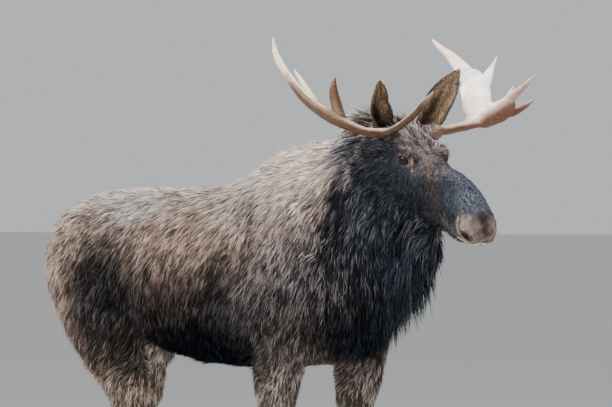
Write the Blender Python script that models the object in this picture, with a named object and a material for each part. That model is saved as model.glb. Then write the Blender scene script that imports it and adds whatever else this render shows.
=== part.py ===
"""A young bull moose, life size, standing square on its feet with its head turned to its right.

It is laid out in a body frame: +X forward, +Y to the animal's left, +Z up, and the origin on the floor
below the withers. Head, ears and antlers have frames of their own. Sizes are in metres and run out to the
tips of the coat. The flesh is lofted through named cross-sections, fused into one surface and parted by
thin cuts; eyes, ears, antlers and hooves are shapes of their own, seated in sockets cut for them.
"""

import math
from collections import namedtuple

import bmesh
import bpy
import numpy as np
from mathutils import Matrix, Vector

GAP = 0.0004  # clear space between neighbouring pieces
VOXEL = 0.012  # grid on which the flesh is fused
FLESH_TRIANGLES = 2860
FINE_WEIGHT = 0.01  # how much finer the head and legs stay than the trunk
ANTLER_VOXEL = 0.0045
ANTLER_TRIANGLES = 540  # in each antler
RING = 28  # points round a body cross-section

HEAD_AT = Vector((0.39, -0.06, 1.853))  # middle of the poll
HEAD_YAW = -19.0  # degrees: to the animal's right
HEAD_PITCH = 30.0  # nose down
HEAD_ROLL = 2.5

Section = namedtuple("Section", "x wide half back belly ridge keel")
Neck = namedtuple("Neck", "x y z half crest throat")
Limb = namedtuple("Limb", "x y z depth width")
Skull = namedtuple("Skull", "x mid half top low crown chin")
Blade = namedtuple("Blade", "ahead out up wide thick")

# Trunk: where the section stands, the height of its widest point, its half width, the heights of back and
# belly, and how its upper and lower halves round off: 2 is an ellipse, less a ridge, more a flat.
TRUNK = [
    Section(-1.335, 1.40, 0.09, 1.47, 1.29, 2.0, 2.0),  # buttocks
    Section(-1.265, 1.40, 0.19, 1.575, 1.17, 2.0, 2.0),  # tail head
    Section(-1.12, 1.38, 0.255, 1.640, 1.10, 2.0, 2.0),  # hips
    Section(-0.90, 1.34, 0.280, 1.662, 1.03, 2.0, 2.0),  # loin
    Section(-0.66, 1.29, 0.310, 1.664, 0.965, 1.9, 2.2),  # back
    Section(-0.42, 1.26, 0.325, 1.690, 0.935, 1.8, 2.2),  # ribs
    Section(-0.22, 1.25, 0.315, 1.805, 0.930, 1.5, 2.2),  # girth
    Section(-0.02, 1.26, 0.290, 1.860, 0.945, 1.4, 2.1),  # withers
    Section(0.15, 1.27, 0.245, 1.840, 0.960, 1.5, 2.0),  # shoulder
    Section(0.27, 1.28, 0.18, 1.62, 1.05, 2.0, 2.0),  # breast
    Section(0.345, 1.28, 0.07, 1.40, 1.14, 2.0, 2.0),  # point of the breast
]

# Neck: its middle line, half width, and how far the crest and the throat stand off that line.
NECK = [
    Neck(-0.06, 0.0, 1.42, 0.24, 0.36, 0.38),
    Neck(0.12, -0.005, 1.52, 0.205, 0.345, 0.33),
    Neck(0.26, -0.03, 1.64, 0.165, 0.275, 0.255),
    Neck(0.36, -0.06, 1.76, 0.13, 0.195, 0.17),
    Neck(0.42, -0.08, 1.84, 0.105, 0.135, 0.10),
]

MANE = [((0.235, -0.04, 1.855), (0.115, 0.034, 0.115)), ((0.12, -0.02, 1.80), (0.16, 0.055, 0.075))]
SHEATH_AT = Vector((-0.57, 0.0, 0.968))

# The bell, a hanging fold of the throat, a foreleg and a hind leg: middle line, half depth along the body
# and half width across it.
BELL = [
    Limb(0.475, -0.070, 1.63, 0.050, 0.045),
    Limb(0.505, -0.065, 1.53, 0.088, 0.055),
    Limb(0.522, -0.055, 1.44, 0.096, 0.056),
    Limb(0.492, -0.050, 1.36, 0.084, 0.054),
    Limb(0.442, -0.045, 1.29, 0.068, 0.048),
    Limb(0.405, -0.040, 1.23, 0.048, 0.036),
    Limb(0.390, -0.035, 1.19, 0.018, 0.014),
]
FORELEG = [
    Limb(0.060, 0.155, 1.40, 0.170, 0.110),
    Limb(0.025, 0.180, 1.22, 0.165, 0.105),
    Limb(-0.010, 0.200, 1.05, 0.140, 0.085),  # elbow
    Limb(-0.018, 0.197, 0.89, 0.113, 0.070),
    Limb(-0.016, 0.190, 0.78, 0.088, 0.060),
    Limb(-0.004, 0.184, 0.67, 0.066, 0.054),
    Limb(0.004, 0.182, 0.565, 0.064, 0.055),  # knee
    Limb(-0.002, 0.178, 0.47, 0.045, 0.040),
    Limb(-0.008, 0.172, 0.32, 0.041, 0.036),
    Limb(-0.014, 0.170, 0.20, 0.045, 0.040),
    Limb(-0.014, 0.170, 0.15, 0.050, 0.046),  # fetlock
    Limb(0.008, 0.170, 0.095, 0.046, 0.046),
    Limb(0.024, 0.170, 0.052, 0.058, 0.054),  # coronet
]
HIND_LEG = [
    Limb(-1.020, 0.130, 1.42, 0.240, 0.120),
    Limb(-1.025, 0.155, 1.28, 0.250, 0.120),
    Limb(-0.990, 0.170, 1.13, 0.208, 0.108),
    Limb(-0.955, 0.175, 1.00, 0.158, 0.090),  # stifle
    Limb(-0.972, 0.170, 0.88, 0.118, 0.072),
    Limb(-1.008, 0.165, 0.76, 0.088, 0.057),
    Limb(-1.055, 0.162, 0.67, 0.077, 0.050),  # hock
    Limb(-1.055, 0.160, 0.58, 0.057, 0.042),
    Limb(-1.045, 0.158, 0.42, 0.044, 0.036),
    Limb(-1.035, 0.158, 0.24, 0.044, 0.038),
    Limb(-1.030, 0.158, 0.155, 0.052, 0.045),  # fetlock
    Limb(-1.006, 0.158, 0.098, 0.047, 0.045),
    Limb(-0.990, 0.158, 0.052, 0.056, 0.053),  # coronet
]

# Each leg of the stride: how far ahead it stands at some heights, then its name, line and side.
FORE_RIGHT = ((0.1, -0.17), (0.6, -0.11), (0.8, -0.085), (1.0, -0.06), (1.3, 0.0))
FORE_LEFT = ((0.1, 0.06), (0.6, 0.03), (0.8, 0.03), (0.9, 0.045), (1.1, 0.04), (1.3, 0.0))
HIND_RIGHT = ((0.1, 0.24), (0.67, 0.17), (0.82, 0.12), (1.0, 0.02), (1.3, 0.0))
HIND_LEFT = ((0.1, -0.11), (0.67, -0.06), (0.82, -0.065), (0.95, -0.11), (1.1, -0.08), (1.3, 0.0))
LEGS = [
    ("foreleg_right", FORELEG, -1, FORE_RIGHT),
    ("foreleg_left", FORELEG, 1, FORE_LEFT),
    ("hind_leg_right", HIND_LEG, -1, HIND_RIGHT),
    ("hind_leg_left", HIND_LEG, 1, HIND_LEFT),
]
LEG_CUT = {"fore": 1.04, "hind": 1.10}  # height where a leg is parted from the trunk
LEG_CUT_RISE = 0.3  # that cut climbs outwards
LEG_REACH = {"fore": 0.21, "hind": 0.3}  # and it runs this far fore and aft
LEG_INSIDE = 0.055  # and its inner side is this far from the middle of the body
SHANK_CUT = {"fore": 0.60, "hind": 0.62}  # and where its shank begins, at knee or hock

# Head, along its own axis from the poll to the nose: height of the middle line, half width, how far top and
# bottom stand off, and how they round off.
SKULL = [
    Skull(-0.10, -0.020, 0.060, 0.060, 0.080, 2.0, 2.0),
    Skull(-0.04, -0.020, 0.095, 0.100, 0.150, 2.0, 2.0),  # nape
    Skull(0.05, -0.020, 0.102, 0.118, 0.170, 2.2, 2.0),  # poll
    Skull(0.15, -0.020, 0.104, 0.108, 0.160, 2.4, 1.9),  # forehead
    Skull(0.24, -0.020, 0.092, 0.082, 0.140, 2.3, 1.9),  # below the eyes
    Skull(0.33, -0.030, 0.075, 0.097, 0.110, 2.2, 2.0),
    Skull(0.42, -0.030, 0.071, 0.116, 0.095, 2.2, 2.1),  # bridge
    Skull(0.51, -0.030, 0.076, 0.118, 0.085, 2.2, 2.3),
    Skull(0.58, -0.035, 0.083, 0.098, 0.072, 2.3, 2.4),  # nostrils
    Skull(0.64, -0.045, 0.082, 0.070, 0.058, 2.3, 2.4),
    Skull(0.68, -0.055, 0.066, 0.040, 0.042, 2.2, 2.3),
    Skull(0.70, -0.060, 0.034, 0.018, 0.020, 2.0, 2.0),  # nose
]
JAW = [
    Skull(0.07, -0.130, 0.070, 0.060, 0.075, 2.0, 2.0),  # angle of the jaw
    Skull(0.20, -0.135, 0.062, 0.050, 0.062, 2.0, 2.0),
    Skull(0.33, -0.135, 0.048, 0.040, 0.042, 2.0, 2.0),
    Skull(0.45, -0.130, 0.043, 0.030, 0.030, 2.0, 2.0),
    Skull(0.53, -0.125, 0.041, 0.030, 0.025, 2.0, 2.0),  # chin
    Skull(0.58, -0.120, 0.033, 0.025, 0.019, 2.0, 2.0),
    Skull(0.605, -0.115, 0.015, 0.012, 0.010, 2.0, 2.0),
]
# Lumps of muscle and gristle on the head: centre (for the left side) and radii.
HEAD_LUMPS = [
    ((0.190, 0.078, 0.040), (0.060, 0.036, 0.036)),  # brow
    ((0.115, 0.062, -0.105), (0.100, 0.042, 0.080)),  # cheek
    ((0.625, 0.048, -0.035), (0.046, 0.040, 0.050)),  # nostril
    ((0.570, 0.045, -0.080), (0.085, 0.036, 0.030)),  # upper lip
]
PEDICLE = [Vector((0.085, 0.06, 0.055)), Vector((0.085, 0.118, 0.070))]
PEDICLE_RADIUS = 0.034
EYE_AT = Vector((0.201, 0.091, 0.017))
EYE_RADIUS = 0.0215
HEAD_BACK = -0.01  # where the head is parted from the neck, along its own axis
HEAD_UNDER = -0.225  # and below the jaw
MOUTH = Vector((0.45, 0.0, -0.106))  # corner of the mouth
MOUTH_TILT = 2.5  # degrees: how the line of the mouth falls towards the nose
JAW_BACK = 0.13

# Antlers, from the burr: ahead of it, outward, up, half width and half thickness. SPREAD is the way in which
# a palm is wide.
SPREAD = Vector((0.72, 0.69, 0.07))
BURR_RADIUS = 0.033
BEAM = [
    Blade(0.0, -0.045, -0.012, 0.024, 0.024),
    Blade(0.0, -0.004, -0.001, 0.026, 0.026),
    Blade(0.0, 0.010, 0.002, 0.0215, 0.0215),
    Blade(0.0, 0.055, 0.006, 0.0185, 0.0185),
]
ANTLER_LEFT = {
    "beam": BEAM + [Blade(0.0, 0.095, 0.011, 0.020, 0.0185), Blade(0.0, 0.150, 0.020, 0.027, 0.018)],
    "palm": [
        Blade(0.0, 0.130, 0.016, 0.024, 0.018),
        Blade(0.0, 0.175, 0.030, 0.036, 0.017),
        Blade(-0.005, 0.210, 0.064, 0.050, 0.015),
        Blade(-0.030, 0.230, 0.125, 0.056, 0.013),
        Blade(-0.070, 0.252, 0.172, 0.062, 0.012),
        Blade(-0.100, 0.265, 0.204, 0.058, 0.011),
        Blade(-0.120, 0.256, 0.226, 0.040, 0.009),
        Blade(-0.130, 0.248, 0.238, 0.016, 0.006),
    ],
    "tine_back": [
        Blade(-0.110, 0.250, 0.200, 0.028, 0.012),
        Blade(-0.150, 0.240, 0.250, 0.027, 0.013),
        Blade(-0.220, 0.243, 0.300, 0.021, 0.013),
        Blade(-0.320, 0.272, 0.332, 0.014, 0.011),
        Blade(-0.390, 0.295, 0.356, 0.008, 0.007),
        Blade(-0.425, 0.307, 0.368, 0.003, 0.003),
    ],
    "tine_middle": [
        Blade(-0.035, 0.265, 0.160, 0.026, 0.010),
        Blade(-0.040, 0.296, 0.210, 0.020, 0.010),
        Blade(-0.050, 0.327, 0.250, 0.011, 0.008),
        Blade(-0.060, 0.358, 0.290, 0.003, 0.003),
    ],
    "brow_palm": [
        Blade(0.0, 0.130, 0.016, 0.022, 0.018),
        Blade(0.030, 0.195, 0.032, 0.034, 0.018),
        Blade(0.080, 0.236, 0.064, 0.046, 0.016),
        Blade(0.120, 0.266, 0.098, 0.044, 0.014),
        Blade(0.145, 0.281, 0.121, 0.026, 0.011),
        Blade(0.152, 0.286, 0.129, 0.010, 0.007),
    ],
    "tine_front": [
        Blade(0.115, 0.270, 0.112, 0.022, 0.012),
        Blade(0.145, 0.278, 0.133, 0.018, 0.012),
        Blade(0.200, 0.283, 0.163, 0.013, 0.010),
        Blade(0.250, 0.286, 0.192, 0.008, 0.007),
        Blade(0.280, 0.286, 0.210, 0.003, 0.003),
    ],
    "tine_outer": [
        Blade(0.095, 0.278, 0.080, 0.020, 0.012),
        Blade(0.118, 0.298, 0.083, 0.016, 0.011),
        Blade(0.140, 0.320, 0.092, 0.012, 0.010),
        Blade(0.160, 0.342, 0.103, 0.008, 0.007),
        Blade(0.174, 0.355, 0.112, 0.003, 0.003),
    ],
    "nub": [
        Blade(0.125, 0.264, 0.115, 0.014, 0.010),
        Blade(0.132, 0.275, 0.147, 0.009, 0.008),
        Blade(0.140, 0.282, 0.170, 0.003, 0.003),
    ],
}
ANTLER_RIGHT = {
    "beam": BEAM + [Blade(-0.008, 0.085, 0.010, 0.019, 0.017)],
    "palm": [
        Blade(-0.004, 0.071, 0.005, 0.018, 0.017),
        Blade(-0.020, 0.114, 0.019, 0.022, 0.016),
        Blade(-0.050, 0.147, 0.039, 0.030, 0.018),
        Blade(-0.090, 0.175, 0.066, 0.040, 0.019),
        Blade(-0.150, 0.199, 0.103, 0.052, 0.018),
        Blade(-0.220, 0.220, 0.152, 0.050, 0.017),
        Blade(-0.290, 0.233, 0.210, 0.030, 0.015),
        Blade(-0.340, 0.247, 0.270, 0.018, 0.012),
        Blade(-0.380, 0.250, 0.324, 0.012, 0.010),
        Blade(-0.412, 0.242, 0.394, 0.003, 0.003),
    ],
    "tine_back": [
        Blade(-0.170, 0.214, 0.130, 0.030, 0.013),
        Blade(-0.195, 0.232, 0.176, 0.022, 0.011),
        Blade(-0.220, 0.250, 0.223, 0.013, 0.009),
        Blade(-0.240, 0.264, 0.263, 0.003, 0.003),
    ],
    "tine_middle": [
        Blade(-0.080, 0.155, 0.060, 0.028, 0.015),
        Blade(-0.095, 0.167, 0.108, 0.021, 0.015),
        Blade(-0.100, 0.183, 0.160, 0.014, 0.012),
        Blade(-0.100, 0.181, 0.195, 0.010, 0.008),
        Blade(-0.095, 0.172, 0.228, 0.003, 0.003),
    ],
    "brow_tine": [
        Blade(-0.010, 0.045, 0.004, 0.018, 0.016),
        Blade(0.040, 0.016, 0.011, 0.017, 0.015),
        Blade(0.100, 0.005, 0.033, 0.016, 0.014),
        Blade(0.200, 0.004, 0.079, 0.014, 0.013),
        Blade(0.260, 0.008, 0.118, 0.011, 0.010),
        Blade(0.325, 0.009, 0.158, 0.003, 0.003),
    ],
}
# The main forks of each antler: the new piece, what it is parted from, a point of the dividing plane, and
# which way the new piece lies.
FORKS = {
    "right": [
        ("palm", "beam", Vector((-0.015, 0.105, 0.017)), Vector((-0.40, 0.85, 0.35))),
        ("brow_tine", "beam", Vector((0.045, 0.016, 0.011)), Vector((1.0, 0.0, 0.2))),
    ],
    "left": [
        ("palm", "beam", Vector((0.0, 0.150, 0.020)), Vector((0.0, 1.0, 0.15))),
        ("brow_palm", "palm", Vector((0.025, 0.210, 0.075)), Vector((0.87, 0.05, -0.48))),
    ],
}

# Ears, in a level frame at the poll: where both grow; then side, tip, and the way the cup opens, as ahead,
# outward, up.
EAR_ROOT = Vector((0.030, 0.085, 0.020))
EARS = {
    "ear_right": (-1, Vector((0.140, 0.158, 0.225)), Vector((0.90, -0.42, 0.0))),
    "ear_left": (1, Vector((0.060, 0.275, 0.257)), Vector((1.00, -0.15, 0.0))),
}
EAR_HALF_WIDTH = 0.055
EAR_THICKNESS = 0.008
EAR_WIDEST = 0.45  # part of the way up

TAIL = [(-1.300, 1.520, 0.040), (-1.345, 1.490, 0.034), (-1.368, 1.440, 0.030), (-1.374, 1.385, 0.012)]

HOOF_LENGTH = 0.135
HOOF_WIDTH = 0.050
HOOF_RINGS = [(0.0, 0.014, 1.0), (0.012, 0.010, 1.0), (0.078, -0.020, 0.70)]  # height, shift ahead, size
COLOURS = {
    "coat": (0.16, 0.125, 0.10),
    "dark_coat": (0.045, 0.04, 0.04),
    "shank": (0.22, 0.19, 0.165),
    "antler": (0.62, 0.46, 0.34),
    "horn": (0.05, 0.045, 0.04),
    "eye": (0.02, 0.015, 0.015),
}
ROUGHNESS = {"eye": 0.08, "horn": 0.45, "antler": 0.55}


# ---------------------------------------------------------------- shapes

def smooth_rows(rows, count):
    """Rows spaced evenly along a smooth curve through the given ones."""
    rows = np.array(rows, float)
    slope = np.gradient(rows, axis=0)
    at = np.linspace(0, len(rows) - 1, count)
    i = np.minimum(at.astype(int), len(rows) - 2)
    u = (at - i)[:, None]
    return (
        (2 * u**3 - 3 * u**2 + 1) * rows[i]
        + (u**3 - 2 * u**2 + u) * slope[i]
        + (3 * u**2 - 2 * u**3) * rows[i + 1]
        + (u**3 - u**2) * slope[i + 1]
    )


def oval(centre, side, up, half, top, low, round_top=2.0, round_low=2.0, count=RING):
    """A closed cross-section, superelliptic above and below its middle."""
    points = []
    for k in range(count):
        turn = 2 * math.pi * k / count
        c, s = math.cos(turn), math.sin(turn)
        power = round_top if s > 0 else round_low
        reach = (abs(c) ** power + abs(s) ** power) ** (-1 / power)
        points.append(centre + side * (half * reach * c) + up * ((top if s > 0 else low) * reach * s))
    return points


def loft(rings):
    """A closed tube through rings with equal numbers of points."""
    tube = bmesh.new()
    rows = [[tube.verts.new(p) for p in ring] for ring in rings]
    for a, b in zip(rows, rows[1:]):
        for i in range(len(a)):
            j = (i + 1) % len(a)
            tube.faces.new((a[i], a[j], b[j], b[i]))
    tube.faces.new(rows[0])
    tube.faces.new(rows[-1])
    bmesh.ops.recalc_face_normals(tube, faces=tube.faces)
    return tube


def ball(centre, radii, frame=Matrix.Identity(4), segments=20, rings=12):
    shape = bmesh.new()
    bmesh.ops.create_uvsphere(shape, u_segments=segments, v_segments=rings, radius=1.0)
    place = frame @ Matrix.Translation(centre) @ Matrix.Diagonal((*radii, 1.0))
    bmesh.ops.transform(shape, matrix=place, verts=shape.verts)
    return shape


def tangents(points):
    """Unit directions along a line of points."""
    return [Vector(t).normalized() for t in np.gradient(np.array([list(p) for p in points]), axis=0)]


def made(name, shapes):
    """One object from bmesh shapes, which are used up."""
    mesh = bpy.data.meshes.new(name)
    whole = bmesh.new()
    for shape in shapes:
        bmesh.ops.triangulate(shape, faces=shape.faces)
        shape.to_mesh(mesh)
        shape.free()
        whole.from_mesh(mesh)
    whole.to_mesh(mesh)
    whole.free()
    obj = bpy.data.objects.new(name, mesh)
    bpy.context.scene.collection.objects.link(obj)
    return obj


def apply(obj):
    """Turns an object's modifiers into its mesh, all triangles."""
    obj.modifiers.new("flat", "TRIANGULATE")
    graph = bpy.context.evaluated_depsgraph_get()
    mesh = bpy.data.meshes.new_from_object(obj.evaluated_get(graph))
    obj.modifiers.clear()
    obj.data = mesh
    return obj


def copy_of(obj, name):
    other = obj.copy()
    other.data = obj.data.copy()
    other.name = name
    bpy.context.scene.collection.objects.link(other)
    return other


def boolean(obj, cutter, operation):
    change = obj.modifiers.new(operation, "BOOLEAN")
    change.operation = operation
    change.solver = "EXACT"
    change.object = cutter
    return apply(obj)


def fused(name, shapes, voxel, rounds):
    """Overlapping shapes melted into one surface, its creases smoothed without shrinking it."""
    obj = made(name, shapes)
    melt = obj.modifiers.new("melt", "REMESH")
    melt.mode = "VOXEL"
    melt.voxel_size = voxel
    for factor in (0.5, -0.53):
        smooth = obj.modifiers.new("smooth", "SMOOTH")
        smooth.factor = factor
        smooth.iterations = rounds
    return apply(obj)


def thinned(obj, triangles, keep=None):
    """Fewer faces, leaving more where the keep group is light."""
    obj.data.calc_loop_triangles()
    thin = obj.modifiers.new("thin", "DECIMATE")
    thin.ratio = min(1.0, triangles / len(obj.data.loop_triangles))
    thin.use_collapse_triangulate = True
    if keep:
        thin.vertex_group = keep
        thin.vertex_group_factor = FINE_WEIGHT
    return apply(obj)


def swollen(obj, name, by):
    """A copy with every point moved out along its normal."""
    other = copy_of(obj, name)
    body = bmesh.new()
    body.from_mesh(other.data)
    body.normal_update()
    moves = [v.normal * by for v in body.verts]
    for vert, move in zip(body.verts, moves):
        vert.co += move
    body.to_mesh(other.data)
    body.free()
    return other


def seat(host, piece):
    """Cuts a socket for piece into host."""
    cutter = swollen(piece, "socket", GAP)
    boolean(host, cutter, "DIFFERENCE")
    bpy.data.objects.remove(cutter)


def slab(low, high, frame=Matrix.Identity(4), rise=0.0):
    """A box used as a cutter. Its top can slope: rise is how much it climbs for each metre of y."""
    shape = bmesh.new()
    bmesh.ops.create_cube(shape, size=1.0)
    for vert in shape.verts:
        vert.co = [(a + b) / 2 + (b - a) * c for a, b, c in zip(low, high, vert.co)]
    for vert in shape.verts:
        if vert.co.z > (low[2] + high[2]) / 2:
            vert.co.z += rise * vert.co.y
    bmesh.ops.transform(shape, matrix=frame, verts=shape.verts)
    return made("cutter", [shape])


def part_off(host, name, cutter_of):
    """Takes what lies in a region away from host as a piece of its own. cutter_of(margin) makes the region."""
    piece = copy_of(host, name)
    inside, outside = cutter_of(-GAP / 2), cutter_of(GAP / 2)
    boolean(piece, inside, "INTERSECT")
    boolean(host, outside, "DIFFERENCE")
    bpy.data.objects.remove(inside)
    bpy.data.objects.remove(outside)
    return piece


# ---------------------------------------------------------------- frames

def turned(yaw, pitch=0.0, roll=0.0):
    yaw, pitch, roll = (math.radians(a) for a in (yaw, pitch, roll))
    return Matrix.Rotation(yaw, 4, "Z") @ Matrix.Rotation(pitch, 4, "Y") @ Matrix.Rotation(roll, 4, "X")


HEAD = Matrix.Translation(HEAD_AT) @ turned(HEAD_YAW, HEAD_PITCH, HEAD_ROLL)
LEVEL_HEAD = Matrix.Translation(HEAD_AT) @ turned(HEAD_YAW, 0.0, HEAD_ROLL)


# ---------------------------------------------------------------- flesh

def trunk_shape():
    y, z = Vector((0, 1, 0)), Vector((0, 0, 1))
    rings = []
    for row in smooth_rows(TRUNK, 48):
        s = Section(*row)
        middle = Vector((s.x, 0, s.wide))
        rings.append(oval(middle, y, z, s.half, s.back - s.wide, s.wide - s.belly, s.ridge, s.keel))
    return loft(rings)


def neck_shape():
    rows = [Neck(*row) for row in smooth_rows(NECK, 24)]
    centres = [Vector((r.x, r.y, r.z)) for r in rows]
    rings = []
    for row, centre, ahead in zip(rows, centres, tangents(centres)):
        side = Vector((0, 0, 1)).cross(ahead).normalized()
        rings.append(oval(centre, side, ahead.cross(side), row.half, row.crest, row.throat))
    return loft(rings)


def leg_line(rows, side, stride):
    """The leg's rows on its own side, moved ahead at each height as the stride has it."""
    heights, moves = zip(*stride)
    line = []
    for row in smooth_rows(rows, 4 * len(rows)):
        r = Limb(*row)
        line.append(Limb(r.x + np.interp(r.z, heights, moves), side * r.y, r.z, r.depth, r.width))
    return line


def limb_shape(line, count=20):
    """A tube down a line of limb rows, which hangs or stands."""
    centres = [Vector((r.x, r.y, r.z)) for r in line]
    rings = []
    for row, centre, down in zip(line, centres, tangents(centres)):
        side = down.cross(Vector((1, 0, 0))).normalized()
        rings.append(oval(centre, side, side.cross(down), row.width, row.depth, row.depth, count=count))
    return loft(rings)


def leg_lumps(name, line):
    """The point of the elbow or of the hock, and the swell of the joint below."""
    fore = name.startswith("fore")
    joint = min(line, key=lambda r: abs(r.z - (1.06 if fore else 0.70)))
    back = Vector((joint.x - (0.075 if fore else 0.060), joint.y, joint.z + 0.02))
    return [ball(back, (0.05, 0.035, 0.075) if fore else (0.028, 0.026, 0.06))]


def body_lumps():
    """Muscles that stand out of the trunk, both sides."""
    lumps = []
    for side in (-1, 1):
        blade = Matrix.Translation((0.03, side * 0.175, 1.38)) @ turned(0, -22)
        lumps.append(ball((0, 0, 0), (0.150, 0.085, 0.30), blade))  # shoulder blade
        lumps.append(ball((0.16, side * 0.15, 1.22), (0.12, 0.085, 0.13)))  # point of the shoulder
        lumps.append(ball((-1.08, side * 0.145, 1.34), (0.225, 0.130, 0.26)))  # haunch
    for centre, radii in MANE:
        crest = Matrix.Translation(centre) @ turned(-12, -28)
        lumps.append(ball((0, 0, 0), radii, crest))
    lumps.append(ball(SHEATH_AT, (0.09, 0.030, 0.030)))
    return lumps


def skull_shape(rows, steps):
    rings = []
    y, z = Vector((0, 1, 0)), Vector((0, 0, 1))
    for row in smooth_rows(rows, steps):
        s = Skull(*row)
        rings.append(oval(Vector((s.x, 0, s.mid)), y, z, s.half, s.top, s.low, s.crown, s.chin, count=24))
    shape = loft(rings)
    bmesh.ops.transform(shape, matrix=HEAD, verts=shape.verts)
    return shape


def head_lumps():
    lumps = []
    for side in (-1, 1):
        for centre, radii in HEAD_LUMPS:
            lumps.append(ball((centre[0], side * centre[1], centre[2]), radii, HEAD))
        base, end = (Vector((p.x, side * p.y, p.z)) for p in PEDICLE)
        ahead = (end - base).normalized()
        up = Vector((1, 0, 0)).cross(ahead)
        stub = loft([oval(p, Vector((1, 0, 0)), up, *[PEDICLE_RADIUS] * 3, count=16) for p in (base, end)])
        bmesh.ops.transform(stub, matrix=HEAD, verts=stub.verts)
        lumps.append(stub)
    return lumps


def flesh():
    shapes = [trunk_shape(), neck_shape(), skull_shape(SKULL, 40), skull_shape(JAW, 24)]
    shapes += body_lumps() + head_lumps()
    for name, rows, side, stride in LEGS:
        line = leg_line(rows, side, stride)
        shapes.append(limb_shape(line))
        shapes += leg_lumps(name, line)
    body = fused("trunk", shapes, VOXEL, 5)
    group = body.vertex_groups.new(name="plain")
    to_head = HEAD.inverted()
    for vert in body.data.vertices:
        on_head = (to_head @ vert.co).x > 0.0 and vert.co.z > 1.3
        on_leg = vert.co.z < 0.9
        group.add([vert.index], 0.3 if on_head else 0.9 if on_leg else 1.0, "REPLACE")
    return thinned(body, FLESH_TRIANGLES, "plain")


# ---------------------------------------------------------------- pieces of their own

def antler_frame(side):
    """A level frame at the burr, where x is ahead, y is outward and z is up."""
    end = HEAD @ Vector((PEDICLE[1].x, side * PEDICLE[1].y, PEDICLE[1].z))
    frame = LEVEL_HEAD.copy()
    frame.translation = end
    return frame @ Matrix.Diagonal((1, side, 1, 1))


def blade_shape(rows, frame, steps):
    """A limb of antler: a flat or round rod along its line."""
    line = [Blade(*row) for row in smooth_rows(rows, steps)]
    centres = [Vector((r.ahead, r.out, r.up)) for r in line]
    rings = []
    for row, centre, along in zip(line, centres, tangents(centres)):
        across = (SPREAD - along * SPREAD.dot(along)).normalized()
        rings.append(oval(centre, across, along.cross(across), row.wide, row.thick, row.thick, count=14))
    shape = loft(rings)
    bmesh.ops.transform(shape, matrix=frame, verts=shape.verts)
    bmesh.ops.recalc_face_normals(shape, faces=shape.faces)
    return shape


def burr_shape(frame):
    rings = []
    for out, radius in ((-0.004, 0.024), (0.0, BURR_RADIUS), (0.008, BURR_RADIUS), (0.013, 0.022)):
        rings.append(oval(Vector((0, out, 0)), Vector((1, 0, 0)), Vector((0, 0, 1)), *[radius] * 3, count=16))
    shape = loft(rings)
    bmesh.ops.transform(shape, matrix=frame, verts=shape.verts)
    bmesh.ops.recalc_face_normals(shape, faces=shape.faces)
    return shape


def antler(side_name, side, limbs):
    """Nodes of one antler: the beam, and each limb beyond a main fork."""
    frame = antler_frame(side)
    shapes = [burr_shape(frame)] + [blade_shape(rows, frame, 4 * len(rows)) for rows in limbs.values()]
    pieces = {"beam": thinned(fused(f"antler_{side_name}_beam", shapes, ANTLER_VOXEL, 4), ANTLER_TRIANGLES)}
    for name, host, point, way in FORKS[side_name]:
        turn = (frame.to_3x3() @ way).to_track_quat("X", "Z").to_matrix().to_4x4()
        place = Matrix.Translation(frame @ point) @ turn

        def beyond(margin):
            return slab((-margin, -0.6, -0.6), (1.0, 0.6, 0.6), place)

        pieces[name] = part_off(pieces[host], f"antler_{side_name}_{name}", beyond)
    return list(pieces.values())


def ear(name):
    """A leaf rolled into a cup: nearly a tube at its root, open from halfway up, and pointed."""
    side, tip, facing = EARS[name]
    along = (tip - EAR_ROOT).normalized()
    facing = (facing - along * facing.dot(along)).normalized()
    across = along.cross(facing)
    rows, columns = 10, 7
    shape = bmesh.new()
    grid = []
    for i in range(rows):
        u = i / (rows - 1)
        below, above = min(1, u / EAR_WIDEST), max(0, (u - EAR_WIDEST) / (1 - EAR_WIDEST))
        half = EAR_HALF_WIDTH * (0.45 + 0.55 * math.sin(math.pi / 2 * below)) * (1 - 0.85 * above**2.2)
        curl = math.radians(140 - 85 * below)
        radius = half / math.sin(min(curl, math.pi / 2))
        middle = EAR_ROOT.lerp(tip, u)
        row = []
        for j in range(columns):
            turn = curl * (2 * j / (columns - 1) - 1)
            spot = across * math.sin(turn) + facing * (0.7 - math.cos(turn))
            row.append(shape.verts.new(middle + radius * spot))
        grid.append(row)
    for a, b in zip(grid, grid[1:]):
        for j in range(columns - 1):
            shape.faces.new((a[j], a[j + 1], b[j + 1], b[j]))
    bmesh.ops.transform(shape, matrix=LEVEL_HEAD @ Matrix.Diagonal((1, side, 1, 1)), verts=shape.verts)
    bmesh.ops.recalc_face_normals(shape, faces=shape.faces)
    obj = made(name, [shape])
    thick = obj.modifiers.new("thick", "SOLIDIFY")
    thick.thickness = EAR_THICKNESS
    thick.offset = 0.0
    return apply(obj)


def eye(name, side):
    return made(name, [ball((EYE_AT.x, side * EYE_AT.y, EYE_AT.z), [EYE_RADIUS] * 3, HEAD, 12, 8)])


def tail():
    rings = []
    side = Vector((0, 1, 0))
    rows = smooth_rows(TAIL, 7)
    middle = [Vector((x, 0, z)) for x, z, radius in rows]
    for point, along, (x, z, radius) in zip(middle, tangents(middle), rows):
        rings.append(oval(point, side, side.cross(along), radius, radius * 0.7, radius * 0.7, count=10))
    return made("tail", [loft(rings)])


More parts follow.
